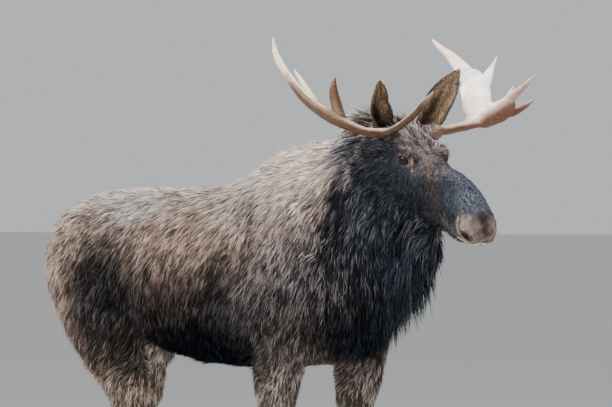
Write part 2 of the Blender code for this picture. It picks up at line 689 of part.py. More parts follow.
def hoof(name, x, y, turn):
    """Half of a cloven hoof: flat sole, steep wall, pointed toe. It stands at x, y, its toe turned a little."""
    rings = []
    for height, ahead, scale in HOOF_RINGS:
        ring = []
        for k in range(10):
            c, s = math.cos(math.pi * k / 5), math.sin(math.pi * k / 5)
            taper = 1 - 0.38 * max(0.0, c) ** 2
            rise = height * (1 + 0.22 * min(0.0, c))
            width = HOOF_WIDTH / 2 * min(1.0, scale + 0.12)
            ring.append(Vector((ahead + HOOF_LENGTH / 2 * scale * c, width * taper * s, rise)))
        rings.append(ring)
    shape = loft(rings)
    place = Matrix.Translation((x, y, 0)) @ Matrix.Rotation(math.radians(turn), 4, "Z")
    bmesh.ops.transform(shape, matrix=place, verts=shape.verts)
    return made(name, [shape])


def dewclaw(name, x, y):
    return made(name, [ball((x, y, 0.098), (0.020, 0.017, 0.030), segments=6, rings=4)])


def feet(name, line, side):
    """The two halves of a hoof, and the dewclaws behind them."""
    foot = line[-1]
    pieces = []
    for which, across in (("inner", -1), ("outer", 1)):
        y = foot.y + side * across * 0.0285
        pieces.append(hoof(f"hoof_{name}_{which}", foot.x + 0.012, y, side * across * 5))
        pieces.append(dewclaw(f"dewclaw_{name}_{which}", foot.x - 0.078, foot.y + side * across * 0.026))
    return pieces


# ---------------------------------------------------------------- parting

def part_legs(trunk):
    """Legs off the trunk, and shanks off the legs."""
    legs, shanks = [], {}
    for name, rows, side, stride in LEGS:
        end = "fore" if name.startswith("fore") else "hind"
        line = leg_line(rows, side, stride)
        hinge = min(line, key=lambda r: abs(r.z - LEG_CUT[end]))
        knee = min(line, key=lambda r: abs(r.z - SHANK_CUT[end]))

        def leg_region(margin):
            low, high = sorted((side * (LEG_INSIDE - margin), side * 0.6))
            top = LEG_CUT[end] - LEG_CUT_RISE * abs(hinge.y) + margin
            reach = LEG_REACH[end]
            return slab((hinge.x - reach, low, -0.1), (hinge.x + reach, high, top), rise=side * LEG_CUT_RISE)

        def shank_region(margin):
            return slab((knee.x - 0.3, -0.6, -0.1), (knee.x + 0.3, 0.6, SHANK_CUT[end] + margin))

        leg = part_off(trunk, name, leg_region)
        shanks[name] = part_off(leg, name + "_shank", shank_region)
        legs.append(leg)
    return legs, shanks


def part_head(trunk):
    """The head off the neck behind the poll and below the jaw, the jaw off the head, the neck off the trunk."""

    def head_region(margin):
        return slab((HEAD_BACK - margin, -0.5, HEAD_UNDER - margin), (1.0, 0.5, 0.5), HEAD)

    def neck_region(margin):
        return slab((-margin, -0.6, -0.32 - margin), (1.0, 0.6, 1.0), collar)

    def jaw_region(margin):
        return slab((JAW_BACK - MOUTH.x - margin, -0.3, -0.3), (0.5, 0.3, margin), mouth)

    collar = Matrix.Translation((0.225, 0, 1.6)) @ turned(0, -25)
    mouth = HEAD @ Matrix.Translation(MOUTH) @ turned(0, MOUTH_TILT)
    head = part_off(trunk, "head", head_region)
    neck = part_off(trunk, "neck", neck_region)
    jaw = part_off(head, "lower_jaw", jaw_region)
    return head, neck, jaw


# ---------------------------------------------------------------- finish

def colour(obj, slot):
    material = bpy.data.materials.get(slot) or bpy.data.materials.new(slot)
    material.use_nodes = True
    shader = material.node_tree.nodes["Principled BSDF"]
    shader.inputs["Base Color"].default_value = (*COLOURS[slot], 1.0)
    shader.inputs["Roughness"].default_value = ROUGHNESS.get(slot, 0.9)
    obj.data.materials.clear()
    obj.data.materials.append(material)
    obj.data.shade_smooth()


def stand_on_origin(objects):
    """Moves everything so that its box is centred on the origin, with the soles on the floor."""
    corners = np.array([v.co for o in objects for v in o.data.vertices])
    low, high = corners.min(axis=0), corners.max(axis=0)
    shift = Vector((-(low[0] + high[0]) / 2, -(low[1] + high[1]) / 2, -low[2]))
    for obj in objects:
        obj.data.transform(Matrix.Translation(shift))
    print("body origin at", tuple(shift))


def main():
    for obj in list(bpy.data.objects):
        bpy.data.objects.remove(obj)
    trunk = flesh()
    legs, shanks = part_legs(trunk)
    head, neck, jaw = part_head(trunk)
    horn, antlers, beams = [], [], []
    for name, rows, side, stride in LEGS:
        for piece in feet(name, leg_line(rows, side, stride), side):
            seat(shanks[name], piece)
            horn.append(piece)
    for side_name, side, limbs in (("right", -1, ANTLER_RIGHT), ("left", 1, ANTLER_LEFT)):
        beam, *rest = antler(side_name, side, limbs)
        seat(head, beam)
        beams.append(beam)
        antlers += [beam, *rest]
    eyes = [eye("eye_right", -1), eye("eye_left", 1)]
    ears = [ear(name) for name in EARS]
    bell = made("bell", [limb_shape([Limb(*row) for row in smooth_rows(BELL, 9)], 12)])
    tail_piece = tail()
    for piece in eyes + ears:
        seat(head, piece)
    for ear_piece in ears:
        seat(neck, ear_piece)
        for beam in beams:
            seat(ear_piece, beam)
    for host, piece in ((neck, bell), (head, bell), (jaw, bell), (trunk, tail_piece)):
        seat(host, piece)
    for slot, objects in {
        "coat": [trunk, neck, head, tail_piece, *ears, *legs],
        "dark_coat": [bell, jaw],
        "shank": shanks.values(),
        "antler": antlers,
        "horn": horn,
        "eye": eyes,
    }.items():
        for obj in objects:
            colour(obj, slot)
    stand_on_origin(list(bpy.context.scene.objects))


main()
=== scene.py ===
"""Looks of a young bull moose: one skin under a coat of hair tufts, antlers, hooves and eyes.

Points are in the row frame, in metres. The body frame has its origin on the floor below the withers, +X
forward and +Y to the animal's left. The head frame runs from the poll along the face, tipped and turned.
Colours are linear albedo.
"""

import math
from collections import namedtuple
from contextlib import contextmanager

import bmesh
import bpy
import numpy as np
from mathutils import Matrix, Vector


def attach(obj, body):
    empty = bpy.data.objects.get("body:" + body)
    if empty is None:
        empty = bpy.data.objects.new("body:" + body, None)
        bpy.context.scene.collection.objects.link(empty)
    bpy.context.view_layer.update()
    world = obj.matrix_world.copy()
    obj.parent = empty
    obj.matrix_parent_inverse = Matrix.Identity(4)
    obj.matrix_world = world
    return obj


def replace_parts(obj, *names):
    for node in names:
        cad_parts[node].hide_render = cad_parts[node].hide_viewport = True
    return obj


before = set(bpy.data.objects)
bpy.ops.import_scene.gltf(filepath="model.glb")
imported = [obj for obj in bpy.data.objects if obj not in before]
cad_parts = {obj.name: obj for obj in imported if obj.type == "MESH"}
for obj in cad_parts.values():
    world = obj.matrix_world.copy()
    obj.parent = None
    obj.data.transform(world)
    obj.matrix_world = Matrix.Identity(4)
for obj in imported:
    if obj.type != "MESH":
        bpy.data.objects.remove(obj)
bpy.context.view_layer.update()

# ---- frames

BODY_AT = Vector((0.21796, -0.01001, 0.0))
POLL = Vector((0.39, -0.06, 1.853))
PEDICLE_END = Vector((0.085, 0.118, 0.07))
EYE_AT = Vector((0.201, 0.091, 0.017))
EYE_RADIUS = 0.0215


def turned(yaw, pitch, roll):
    """A turn about the up axis, then the sideways one, then the forward one, in degrees."""
    yaw, pitch, roll = (math.radians(a) for a in (yaw, pitch, roll))
    return Matrix.Rotation(yaw, 4, "Z") @ Matrix.Rotation(pitch, 4, "Y") @ Matrix.Rotation(roll, 4, "X")


BODY = Matrix.Translation(BODY_AT)
HEAD = BODY @ Matrix.Translation(POLL) @ turned(-19.0, 30.0, 2.5)
LEVEL_HEAD = BODY @ Matrix.Translation(POLL) @ turned(-19.0, 0.0, 2.5)


def antler_frame(side):
    """A level frame at the burr, where x is ahead, y is outward and z is up."""
    place = LEVEL_HEAD.copy()
    place.translation = HEAD @ Vector((PEDICLE_END.x, side * PEDICLE_END.y, PEDICLE_END.z))
    return place @ Matrix.Diagonal((1, side, 1, 1))


FRAMES = {"body": BODY, "head": HEAD, "burr_right": antler_frame(-1), "burr_left": antler_frame(1)}


def local(points, place):
    """Points of the row frame in one of the named frames."""
    m = np.array(FRAMES[place].inverted())
    return points @ m[:3, :3].T + m[:3, 3]


def mirrored(points, place):
    """As local, with both sides of the animal laid on its left."""
    q = local(points, place)
    q[:, 1] = np.abs(q[:, 1])
    return q


def placed_out(points, place):
    """Points of a named frame in the row frame."""
    m = np.array(FRAMES[place])
    return points @ m[:3, :3].T + m[:3, 3]


def ways_out(ways, place):
    """Directions of a named frame in the row frame."""
    return ways @ np.array(FRAMES[place])[:3, :3].T


# ---- numbers

def rgb(*levels):
    """A colour."""
    return np.array(levels)


def smooth(low, high, x):
    """0 at low, 1 at high, and an even rise from one to the other."""
    t = np.clip((x - low) / (high - low), 0.0, 1.0)
    return t * t * (3 - 2 * t)


def hill(x, middle, width):
    """1 in the middle, and less the farther away x is."""
    return np.exp(-(((x - middle) / width) ** 2))


def mixed(base, other, share):
    """base, moved toward other by a share from 0 to 1."""
    return base + (other - base) * share


def away_from(points, centre):
    """Distance of each point from a centre."""
    return np.linalg.norm(points - np.array(centre), axis=1)


def unit(v):
    """Ways of length 1."""
    return v / np.maximum(np.linalg.norm(v, axis=-1, keepdims=True), 1e-9)


def waves(points, size, seed, count=16):
    """Smooth noise of about -1 to 1, with features about size across."""
    rng = np.random.default_rng(seed)
    ways = unit(rng.normal(size=(count, 3)))
    pitch = 2 * math.pi / size * rng.uniform(0.6, 1.5, count)
    phase = rng.uniform(0, 2 * math.pi, count)
    return np.sin(points @ (ways * pitch[:, None]).T + phase).sum(1) / math.sqrt(count)


def locks_of(points, way, size, seed):
    """The lock of each hair: a number from 0 to 1, another, and the way to the lock's own line."""
    steep = np.abs(way[:, 2:]) > 0.6
    lie = np.where(steep, unit(np.array([-0.3, 0.0, -0.95])), unit(np.array([-0.9, 0.0, -0.4])))
    squeezed = points - 0.82 * np.sum(points * lie, axis=1, keepdims=True) * lie
    bent = squeezed + 0.35 * size * np.stack([waves(points, 2.2 * size, seed + i) for i in range(3)], 1)
    cell = np.floor(bent / size).astype(np.int64)
    code = (cell[:, 0] * 73856093) ^ (cell[:, 1] * 19349663) ^ (cell[:, 2] * 83492791) ^ (seed * 2654435761)
    first = ((code * 1103515245 + 12345) & 0x7FFFFFFF) / float(0x7FFFFFFF)
    second = ((code * 22695477 + 1) >> 7 & 0xFFFFF) / float(0xFFFFF)
    pull = (cell + 0.5) * size - bent
    return first, second, pull - np.sum(pull * lie, axis=1, keepdims=True) * lie


def gathered(spread, way, length, size, wild):
    """The way of each hair when it leans to the line of its lock, and the lock's two numbers."""
    lock, other, pull = locks_of(spread.points, way, size, 5)
    across = np.cross(spread.normals, way)
    toward = np.sum(pull * across, axis=1) / length * 0.85 + wild * (other - 0.5)
    return unit(way + toward[:, None] * across), lock, other


def strayed(way, normals, amount, rng):
    """Ways that each lean a little to one side."""
    return unit(way + rng.normal(0, amount, len(way))[:, None] * np.cross(normals, way))


# ---- zones of the coat

# A zone is a soft-edged ellipsoid in a named frame, the same on both sides of the animal.
Zone = namedtuple("Zone", "place centre radii values edge")


def zones(place, rows):
    """Zones of one frame: the centre, radii, values and edge of each."""
    return [Zone(place, *row) for row in rows]


def blended(points, start, zones_of, ragged=0.0):
    """start, changed by each zone in turn as far as each point lies in it."""
    out = np.tile(np.array(start, float), (len(points), 1))
    rough = ragged * (waves(points, 0.09, 3) + 0.6 * waves(points, 0.035, 4)) if ragged else 0.0
    places = {name: mirrored(points, name) for name in {z.place for z in zones_of}}
    for zone in zones_of:
        q = places[zone.place]
        away = np.linalg.norm((q - np.array(zone.centre)) / np.array(zone.radii), axis=1) + rough
        share = 1 / (1 + np.exp(np.clip((away - 1) * zone.edge, -30, 30)))
        out += (np.array(zone.values) - out) * share[:, None]
    return out


# Markings: red, green, blue, and how grizzled: the share of hairs with light tips.
MARKS_START = (0.355, 0.255, 0.205, 0.52)
MARKS = zones("body", [
    ((-0.55, 0, 1.72), (0.85, 0.22, 0.16), (0.31, 0.255, 0.245, 0.6), 4),  # back
    ((-0.6, 0, 1.73), (0.62, 0.07, 0.1), (0.24, 0.185, 0.165, 0.55), 5),  # spine
    ((0.08, 0, 1.78), (0.34, 0.4, 0.24), (1.05, 0.8, 0.64, 0.45), 5),  # hump
    ((0.25, 0.1, 1.78), (0.17, 0.16, 0.2), (1, 0.76, 0.6, 0.42), 5),
    ((-1.22, 0.1, 1.46), (0.2, 0.25, 0.17), (0.46, 0.345, 0.285, 0.57), 4),  # rump
    ((-0.85, 0.16, 1.6), (0.13, 0.12, 0.08), (0.48, 0.415, 0.395, 0.62), 5),  # loin
    ((-0.25, 0.2, 1.57), (0.13, 0.2, 0.09), (0.43, 0.335, 0.29, 0.6), 5),
    # Belly: dark hair, painted darker still as painted shade under the body.
    ((-0.45, 0.3, 1.02), (0.62, 0.5, 0.15), (0.0012, 0.0018, 0.0032, 0.01), 8),  # belly
    ((-0.56, 0.3, 1.14), (0.44, 0.5, 0.217), (0.03, 0.025, 0.023, 0.2), 5),  # lower flank
    ((-0.28, 0.3, 1.16), (0.12, 0.3, 0.26), (0.009, 0.009, 0.011, 0.06), 5),  # behind the elbow
    ((-0.92, 0.26, 1.27), (0.2, 0.16, 0.225), (0.026, 0.024, 0.027, 0.16), 5),  # thigh
    # Shoulder: lighter, partly its own coat and partly a painted highlight.
    ((0.02, 0.28, 1.3), (0.2, 0.2, 0.26), (0.2, 0.168, 0.166, 0.52), 4),  # shoulder
    ((-0.04, 0.24, 1.12), (0.25, 0.22, 0.195), (0.041, 0.038, 0.043, 0.25), 5),  # upper arm
    ((0.24, 0.12, 1.38), (0.2, 0.26, 0.3), (0.046, 0.044, 0.053, 0.42), 5),  # side of the neck
    ((0.4, 0.02, 1.45), (0.24, 0.26, 0.42), (0.0115, 0.0145, 0.021, 0.16), 5),  # throat
    ((0.34, 0.08, 1.66), (0.12, 0.2, 0.16), (0.036, 0.037, 0.045, 0.35), 5),
    ((0.19, 0.17, 1.62), (0.045, 0.12, 0.14), (0.022, 0.023, 0.03, 0.2), 5),
    # Behind the cheek: dark hair with a painted blue-grey sheen.
    ((0.34, 0.18, 1.66), (0.09, 0.12, 0.15), (0.064, 0.078, 0.1, 0.22), 5),  # behind the cheek
    ((0.2, 0.08, 1.82), (0.09, 0.16, 0.085), (0.2, 0.195, 0.225, 0.55), 5),  # foot of the mane
    ((0.32, 0, 2.03), (0.15, 0.18, 0.13), (0.075, 0.076, 0.085, 0.42), 5),  # nape
    ((0.22, 0, 1.08), (0.22, 0.3, 0.16), (0.003, 0.0042, 0.0068, 0.02), 6),  # chest
    ((-0.4, 0, 0.3), (9, 9, 0.55), (0.225, 0.186, 0.15, 0.35), 9),  # legs
    ((0.08, 0.2, 0.6), (0.4, 0.5, 0.45), (0.188, 0.155, 0.138, 0.3), 5),  # forelegs
    ((-0.4, 0, 0.2), (9, 9, 0.38), (0.17, 0.15, 0.135, 0.35), 9),
    ((-0.9, 0.03, 1), (0.2, 0.12, 0.14), (0.5, 0.45, 0.39, 0.1), 6),  # groin
    ((-0.4, 0, 0.06), (9, 9, 0.1), (0.06, 0.052, 0.047, 0.1), 9),  # pasterns
    # Under the belly: dark hair, painted darker still as painted shade under the body.
    ((-0.46, 0.1, 0.99), (0.33, 0.5, 0.17), (0.004, 0.0052, 0.008, 0.03), 8),  # under the belly
    ((0.24, 0, 1.1), (0.2, 0.3, 0.15), (0.006, 0.008, 0.0115, 0.05), 6),  # brisket
]) + zones("head", [
    ((0.12, 0, -0.02), (0.24, 0.3, 0.22), (0.045, 0.041, 0.043, 0.2), 8),  # head
    ((0.05, 0, 0.1), (0.1, 0.1, 0.07), (0.085, 0.083, 0.09, 0.5), 6),  # poll
    ((0.16, 0.05, 0.095), (0.1, 0.085, 0.06), (0.21, 0.165, 0.155, 0.45), 5),  # forehead
    ((0.2, 0.1, -0.1), (0.22, 0.1, 0.13), (0.034, 0.04, 0.052, 0.16), 6),  # cheek
    ((0.33, 0.05, -0.13), (0.07, 0.07, 0.05), (0.012, 0.013, 0.016, 0.05), 5),
    ((0.55, 0, -0.02), (0.27, 0.2, 0.17), (0.016, 0.019, 0.026, 0.16), 7),  # nose
    ((0.245, 0.065, 0.03), (0.06, 0.04, 0.045), (0.1, 0.094, 0.108, 0.3), 5),  # before the eye
    ((0.42, 0.1, -0.075), (0.12, 0.09, 0.055), (0.034, 0.033, 0.037, 0.04), 6),
    ((0.235, 0.05, 0.082), (0.06, 0.055, 0.035), (0.23, 0.185, 0.18, 0.2), 5),  # brow
    # Bridge, side of the nose and front of the bridge: lighter along the ridge as a painted highlight, darker
    # down the side as painted shade.
    ((0.47, 0, 0.105), (0.2, 0.05, 0.045), (0.07, 0.084, 0.116, 0.25), 6),  # bridge
    ((0.52, 0.07, 0.025), (0.075, 0.05, 0.05), (0.038, 0.045, 0.062, 0.15), 5),
    ((0.585, 0.015, 0.05), (0.06, 0.05, 0.038), (0.108, 0.122, 0.154, 0.12), 5),
    ((0.675, 0, -0.04), (0.055, 0.075, 0.055), (0.17, 0.122, 0.098, 0), 6),  # nose tip
    ((0.645, 0.062, -0.028), (0.042, 0.036, 0.042), (0.195, 0.145, 0.128, 0), 6),  # nostril
    ((0.662, 0, -0.012), (0.05, 0.021, 0.06), (0.04, 0.028, 0.026, 0), 4),
    ((0.56, 0.06, -0.085), (0.055, 0.04, 0.03), (0.07, 0.064, 0.066, 0), 6),
    ((0.485, 0.062, -0.09), (0.028, 0.03, 0.018), (0.16, 0.125, 0.095, 0), 6),  # mouth corner
    # Chin: painted very dark as painted shade under the muzzle.
    ((0.45, 0, -0.16), (0.24, 0.08, 0.035), (0.022, 0.021, 0.024, 0.05), 6),  # chin
]) + zones("body", [
    # Bell: dark hair with a painted blue-grey sheen.
    ((0.47, 0, 1.4), (0.2, 0.18, 0.24), (0.034, 0.043, 0.058, 0.12), 6),  # bell
])

# Narrow markings along a line, in a named frame: the line, its half width, its colour and its strength. The
# axis that flat gives a small number counts for little, so the marking reaches far along it.
Streak = namedtuple("Streak", "place line radius colour strength flat", defaults=((1.0, 0.25, 1.0),))
ON_TOP = (1.0, 1.0, 0.25)
TEAR_GLAND = [(0.234, 0.088, 0.044), (0.243, 0.086, 0.022), (0.254, 0.083, -0.002)]
TEAR_PIT = [(0.247, 0.074, 0.04), (0.25, 0.073, 0.034)]
NOSTRIL_RIM = [(0.602, 0.079, -0.006), (0.61, 0.092, -0.032), (0.622, 0.088, -0.06), (0.65, 0.077, -0.078),
               (0.68, 0.06, -0.085)]
LIP = [(0.622, 0.066, -0.093), (0.655, 0.05, -0.092), (0.684, 0.024, -0.086), (0.697, 0.0, -0.081)]
STREAKS = [
    # Painted shade in the crease behind the shoulder and in the crease on the shoulder.
    Streak("body", [(-0.21, 0.2, 1.62), (-0.165, 0.26, 1.43), (-0.21, 0.3, 1.28)], 0.02,
           (0.13, 0.105, 0.095), 0.6),
    Streak("body", [(0.05, 0.3, 1.63), (0.058, 0.33, 1.5), (0.05, 0.34, 1.37)], 0.008,
           (0.07, 0.065, 0.07), 0.8),
    Streak("head", [(0.262, 0.052, 0.052), (0.3, 0.055, 0.036), (0.345, 0.06, 0.02)], 0.0095,
           (0.15, 0.092, 0.068), 0.62),
    Streak("head", [(0.14, 0.018, 0.08), (0.175, 0.03, 0.08)], 0.009, (0.04, 0.034, 0.04), 0.85, ON_TOP),
    Streak("head", [(0.185, 0.02, 0.085), (0.25, 0.008, 0.08)], 0.007, (0.06, 0.062, 0.075), 0.7, ON_TOP),
    Streak("head", [(0.095, 0.02, 0.095), (0.135, 0.052, 0.078)], 0.007, (0.34, 0.32, 0.33), 0.6, ON_TOP),
    Streak("head", TEAR_GLAND, 0.0036, (0.58, 0.39, 0.26), 1),
    # painted shade in the pit before the eye
    Streak("head", TEAR_PIT, 0.0052, (0.014, 0.014, 0.016), 0.8),
    Streak("head", NOSTRIL_RIM, 0.0034, (0.42, 0.34, 0.31), 0.7),
    Streak("head", LIP, 0.0062, (0.58, 0.48, 0.35), 0.85, (1, 0.5, 1)),
]
# Rings round the eye: how far out each lies, its width, its colour and its strength.
EYE_RINGS = [
    # painted shade in the hollow round the eye
    (2.3, 0.6, (0.04, 0.033, 0.034), 0.75),
    (1.5, 0.28, (0.15, 0.098, 0.09), 0.85),
    (1.05, 0.2, (0.014, 0.01, 0.01), 1),
]


def marked(points):
    """Colour and grizzle of the coat at each point."""
    out = blended(points, MARKS_START, MARKS, 0.1)
    q = mirrored(points, "head")
    nose = smooth(0.57, 0.64, q[:, 0])
    brow = smooth(0.1, 0.04, away_from(q, (0.17, 0.04, 0.08)))
    flecks = (0.3 * waves(points, 0.036, 80, 30) + 0.16 * waves(points, 0.013, 83, 30)) * nose
    flecks = flecks + 0.32 * waves(points, 0.036, 81, 30) * brow
    out[:, :3] *= np.clip(1 + flecks, 0.3, 1.8)[:, None]
    for streak in STREAKS:
        line = np.array(streak.line) * streak.flat
        near = along_line(mirrored(points, streak.place) * streak.flat, line)[0]
        share = streak.strength * smooth(1.7 * streak.radius, 0.5 * streak.radius, near)[:, None]
        out = mixed(out, rgb(*streak.colour, 0.0), share)
    # Painted shade inside the nostrils: near black in the hollow.
    near, share = along_line(q, NOSTRIL)
    out[:, :3] *= 1 - 0.985 * smooth(1.15, 0.8, near / nostril_width(share))[:, None]
    # Painted shade along the line of the mouth, where the lips meet.
    out[:, :3] *= 1 - 0.85 * smooth(0.005, 0.002, along_line(q, MOUTH)[0])[:, None]
    opening = eye_opening(q)
    for middle, width, colour, strength in EYE_RINGS:
        out = mixed(out, rgb(*colour, 0.0), strength * hill(opening, middle, width)[:, None])
    return out


# Coat: how deep it stands on the skin, the length and width of a tuft, how far apart tufts grow, and how
# steeply they leave the skin, from 0 to 1.
COAT_START = (0.018, 0.058, 0.0038, 0.0066, 0.2)
COAT = zones("body", [
    ((0.08, 0, 1.8), (0.4, 0.4, 0.24), (0.025, 0.066, 0.004, 0.0066, 0.26), 5),  # hump
    ((0.36, 0, 1.45), (0.3, 0.3, 0.45), (0.022, 0.078, 0.0044, 0.0072, 0.2), 5),  # neck
    ((-1.2, 0.1, 1.35), (0.25, 0.3, 0.3), (0.017, 0.052, 0.0038, 0.0066, 0.22), 5),  # rump
    ((-0.4, 0, 0.3), (9, 9, 0.62), (0.01, 0.03, 0.0042, 0.0064, 0.25), 9),  # upper legs
    ((-0.4, 0, 0.2), (9, 9, 0.38), (0.006, 0.02, 0.0036, 0.0062, 0.22), 9),  # shanks
    ((-0.4, 0, 0.02), (9, 9, 0.14), (0.005, 0.018, 0.0034, 0.0058, 0.3), 9),  # feet
    ((0.465, 0.05, 1.4), (0.12, 0.09, 0.25), (0.016, 0.085, 0.0052, 0.007, 0.25), 7),  # bell
]) + zones("head", [
    ((0.12, 0, -0.02), (0.26, 0.3, 0.22), (0.008, 0.024, 0.0034, 0.0052, 0.3), 7),  # head
    ((0.05, 0, 0.11), (0.12, 0.1, 0.07), (0.011, 0.04, 0.0038, 0.0058, 0.6), 6),  # poll
    ((0.2, 0, 0), (0.12, 0.3, 0.1), (0.004, 0.015, 0.0028, 0.0044, 0.3), 6),  # face
    ((0.215, 0.065, 0.075), (0.055, 0.06, 0.035), (0.007, 0.026, 0.0034, 0.0046, 0.7), 6),  # brow
    ((0.5, 0, -0.03), (0.28, 0.3, 0.2), (0.0035, 0.014, 0.0036, 0.0052, 0.22), 8),  # nose
    ((0.66, 0, -0.06), (0.07, 0.3, 0.12), (0.0015, 0.006, 0.002, 0.006, 0.12), 8),  # nose tip
    ((0.45, 0, -0.16), (0.2, 0.08, 0.04), (0.007, 0.032, 0.0036, 0.0056, 0.4), 6),  # chin
])

# Long hair on top of the coat: how thick it grows, from 0 to 1, its length, how far it rises, and its droop.
LONG_START = (0.0, 0.09, 0.03, 0.2)
LONG = zones("body", [
    ((0.22, 0, 1.86), (0.13, 0.13, 0.1), (1, 0.105, 0.06, 0), 8),  # mane
    ((0.08, 0, 1.86), (0.18, 0.1, 0.06), (0.7, 0.085, 0.034, 0.1), 8),
    ((0.46, 0.05, 1.42), (0.09, 0.07, 0.22), (1, 0.12, 0.022, 0.5), 8),  # bell
    ((0.38, 0, 1.22), (0.12, 0.14, 0.12), (0.6, 0.11, 0.022, 0.5), 8),  # chest
]) + zones("head", [
    ((0.02, 0.06, 0.1), (0.07, 0.05, 0.05), (0.8, 0.06, 0.034, 0), 8),  # poll
])

# Lie of the coat: points of each frame, and the way in which the hair runs there.
LIES = {
    "body": [
        ((-0.02, 0, 1.86), (-0.85, 0.25, -0.3)),
        ((0.1, 0.2, 1.7), (-0.45, 0.2, -0.85)),
        ((-0.6, 0.03, 1.66), (-0.7, 0.4, -0.35)),
        ((-0.78, 0.17, 1.61), (-0.42, 0.25, -0.85)),
        ((-0.42, 0.17, 1.61), (-0.38, 0.25, -0.87)),
        ((-0.7, 0.25, 1.48), (-0.22, 0, -0.97)),
        ((-0.6, 0.3, 1.25), (-0.04, 0, -1)),
        ((-0.25, 0.25, 1.5), (-0.2, 0, -0.97)),
        ((-0.4, 0.28, 1.05), (-0.25, -0.2, -0.9)),
        ((-1.1, 0.1, 1.6), (-0.75, 0.25, -0.6)),
        ((-1.1, 0.25, 1.42), (-0.38, 0, -0.9)),
        ((-1.3, 0.08, 1.35), (-0.2, 0.1, -0.95)),
        ((-0.98, 0.27, 1.15), (-0.3, 0, -0.95)),
        ((0, 0.3, 1.45), (-0.28, 0, -0.95)),
        ((0.02, 0.28, 1.15), (-0.22, 0, -0.95)),
        ((-0.25, 0.3, 1.2), (-0.4, 0, -0.85)),
        ((0.25, 0.16, 1.6), (-0.32, 0.1, -0.9)),
        ((0.33, 0.1, 1.4), (-0.15, 0, -0.97)),
        ((0.28, 0, 1.95), (-0.75, 0, 0.45)),
        ((0.2, 0.08, 1.88), (-0.7, 0.2, -0.4)),
        ((0.3, 0, 1.25), (0.05, 0, -1)),
        ((-0.2, 0, 0.94), (-0.95, 0, -0.1)),
        ((-0.7, 0, 0.97), (-0.95, 0, -0.1)),
        ((0.47, -0.06, 1.4), (-0.12, 0, -1)),
    ],
    "head": [
        ((0.05, 0, 0.1), (-0.85, 0.25, 0.45)),
        ((0.17, 0.04, 0.1), (-0.8, 0.45, 0.1)),
        ((0.26, 0.03, 0.07), (0.75, 0.35, 0)),
        ((0.45, 0, 0.09), (0.95, 0.05, 0)),
        ((0.45, 0.07, 0), (0.55, 0, -0.75)),
        ((0.6, 0, 0.06), (0.8, 0, -0.4)),
        ((0.62, 0.08, -0.03), (0.3, 0, -0.9)),
        ((0.3, 0.08, -0.05), (0.1, 0, -0.98)),
        ((0.15, 0.1, -0.08), (-0.45, 0, -0.85)),
        ((0.12, 0.1, 0.03), (-0.85, 0.1, -0.25)),
        ((0.24, 0.09, 0.03), (0.35, 0.1, -0.8)),
        ((0.02, 0.08, -0.08), (-0.7, 0, -0.7)),
        ((0.4, 0.03, -0.16), (-0.6, 0, -0.6)),
    ],
}


def lie_of(points, normals, messy=0.12):
    """The way the hair runs at each point, along the skin."""
    total = np.zeros_like(points)
    for place, rows in LIES.items():
        q = local(points, place)
        for point, way in rows:
            for side in (1, -1):
                near = np.sum((q - np.array(point) * (1, side, 1)) ** 2, axis=1)[:, None]
                total += ways_out(np.array([way]) * (1, side, 1), place) / (near + 0.0012) ** 2.0
    low = smooth(0.95, 0.8, local(points, "body")[:, 2])[:, None]
    total = unit(total) * (1 - low) + np.array([[-0.06, 0.0, -1.0]]) * low
    sway = np.stack([waves(points, 0.11, 20 + i) + 0.7 * waves(points, 0.04, 30 + i) for i in range(3)], 1)
    total = unit(total) + messy * sway
    total -= normals * np.sum(total * normals, axis=1, keepdims=True)
    return unit(total)


# ---- meshes as arrays

def values_of(items, key, width, kind=np.float32):
    """A value of each item, in rows of the given width."""
    values = np.empty(len(items) * width, kind)
    items.foreach_get(key, values)
    return values.reshape(-1, width)


def flat(values, kind=np.float32):
    """Values as foreach_set takes them."""
    return np.ascontiguousarray(values, dtype=kind).ravel()


def positions(mesh):
    """The points of a mesh."""
    return values_of(mesh.vertices, "co", 3, float)


def set_positions(mesh, co):
    """Moves the points of a mesh."""
    mesh.vertices.foreach_set("co", flat(co))
    mesh.update()


def vertex_normals(mesh):
    """The way out of the surface at each point."""
    return values_of(mesh.vertex_normals, "vector", 3).astype(float)


def mesh_of(name, verts, faces):
    """A mesh from an array of points and an array of faces with equally many corners."""
    mesh = bpy.data.meshes.new(name)
    mesh.vertices.add(len(verts))
    mesh.vertices.foreach_set("co", flat(verts))
    mesh.loops.add(faces.size)
    mesh.loops.foreach_set("vertex_index", flat(faces, np.int32))
    mesh.polygons.add(len(faces))
    mesh.polygons.foreach_set("loop_start", np.arange(0, faces.size, faces.shape[1], dtype=np.int32))
    mesh.update(calc_edges=True)
    return mesh


def paint(mesh, colours):
    """Stores one colour for each point, under the name that the materials read."""
    layer = mesh.color_attributes.new("coat", "FLOAT_COLOR", "POINT")
    full = np.ones((len(colours), 4))
    full[:, :3] = np.clip(colours, 0, 1)
    layer.data.foreach_set("color", flat(full))


def lay_out(mesh, places):
    """Stores the map OFBake: one place for each corner of each face."""
    mesh.uv_layers.new(name="OFBake").data.foreach_set("uv", flat(places))


def linked(name, data):
    """A new object of the scene."""
    obj = bpy.data.objects.new(name, data)
    bpy.context.scene.collection.objects.link(obj)
    return obj


def placed(name, mesh, material):
    """A piece of the model, in its material and slot."""
    obj = linked(name, mesh)
    mesh.materials.clear()
    mesh.materials.append(material)
    mesh.shade_smooth()
    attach(obj, "root")
    return obj


@contextmanager
def editing(mesh):
    """The mesh open for editing, and written back at the end."""
    body = bmesh.new()
    body.from_mesh(mesh)
    yield body
    body.to_mesh(mesh)
    body.free()
    mesh.update()


def joined(name, meshes):
    """One mesh with all that the given ones have."""
    whole = bmesh.new()
    for mesh in meshes:
        whole.from_mesh(mesh)
        bpy.data.meshes.remove(mesh)
    result = bpy.data.meshes.new(name)
    whole.to_mesh(result)
    whole.free()
    return result


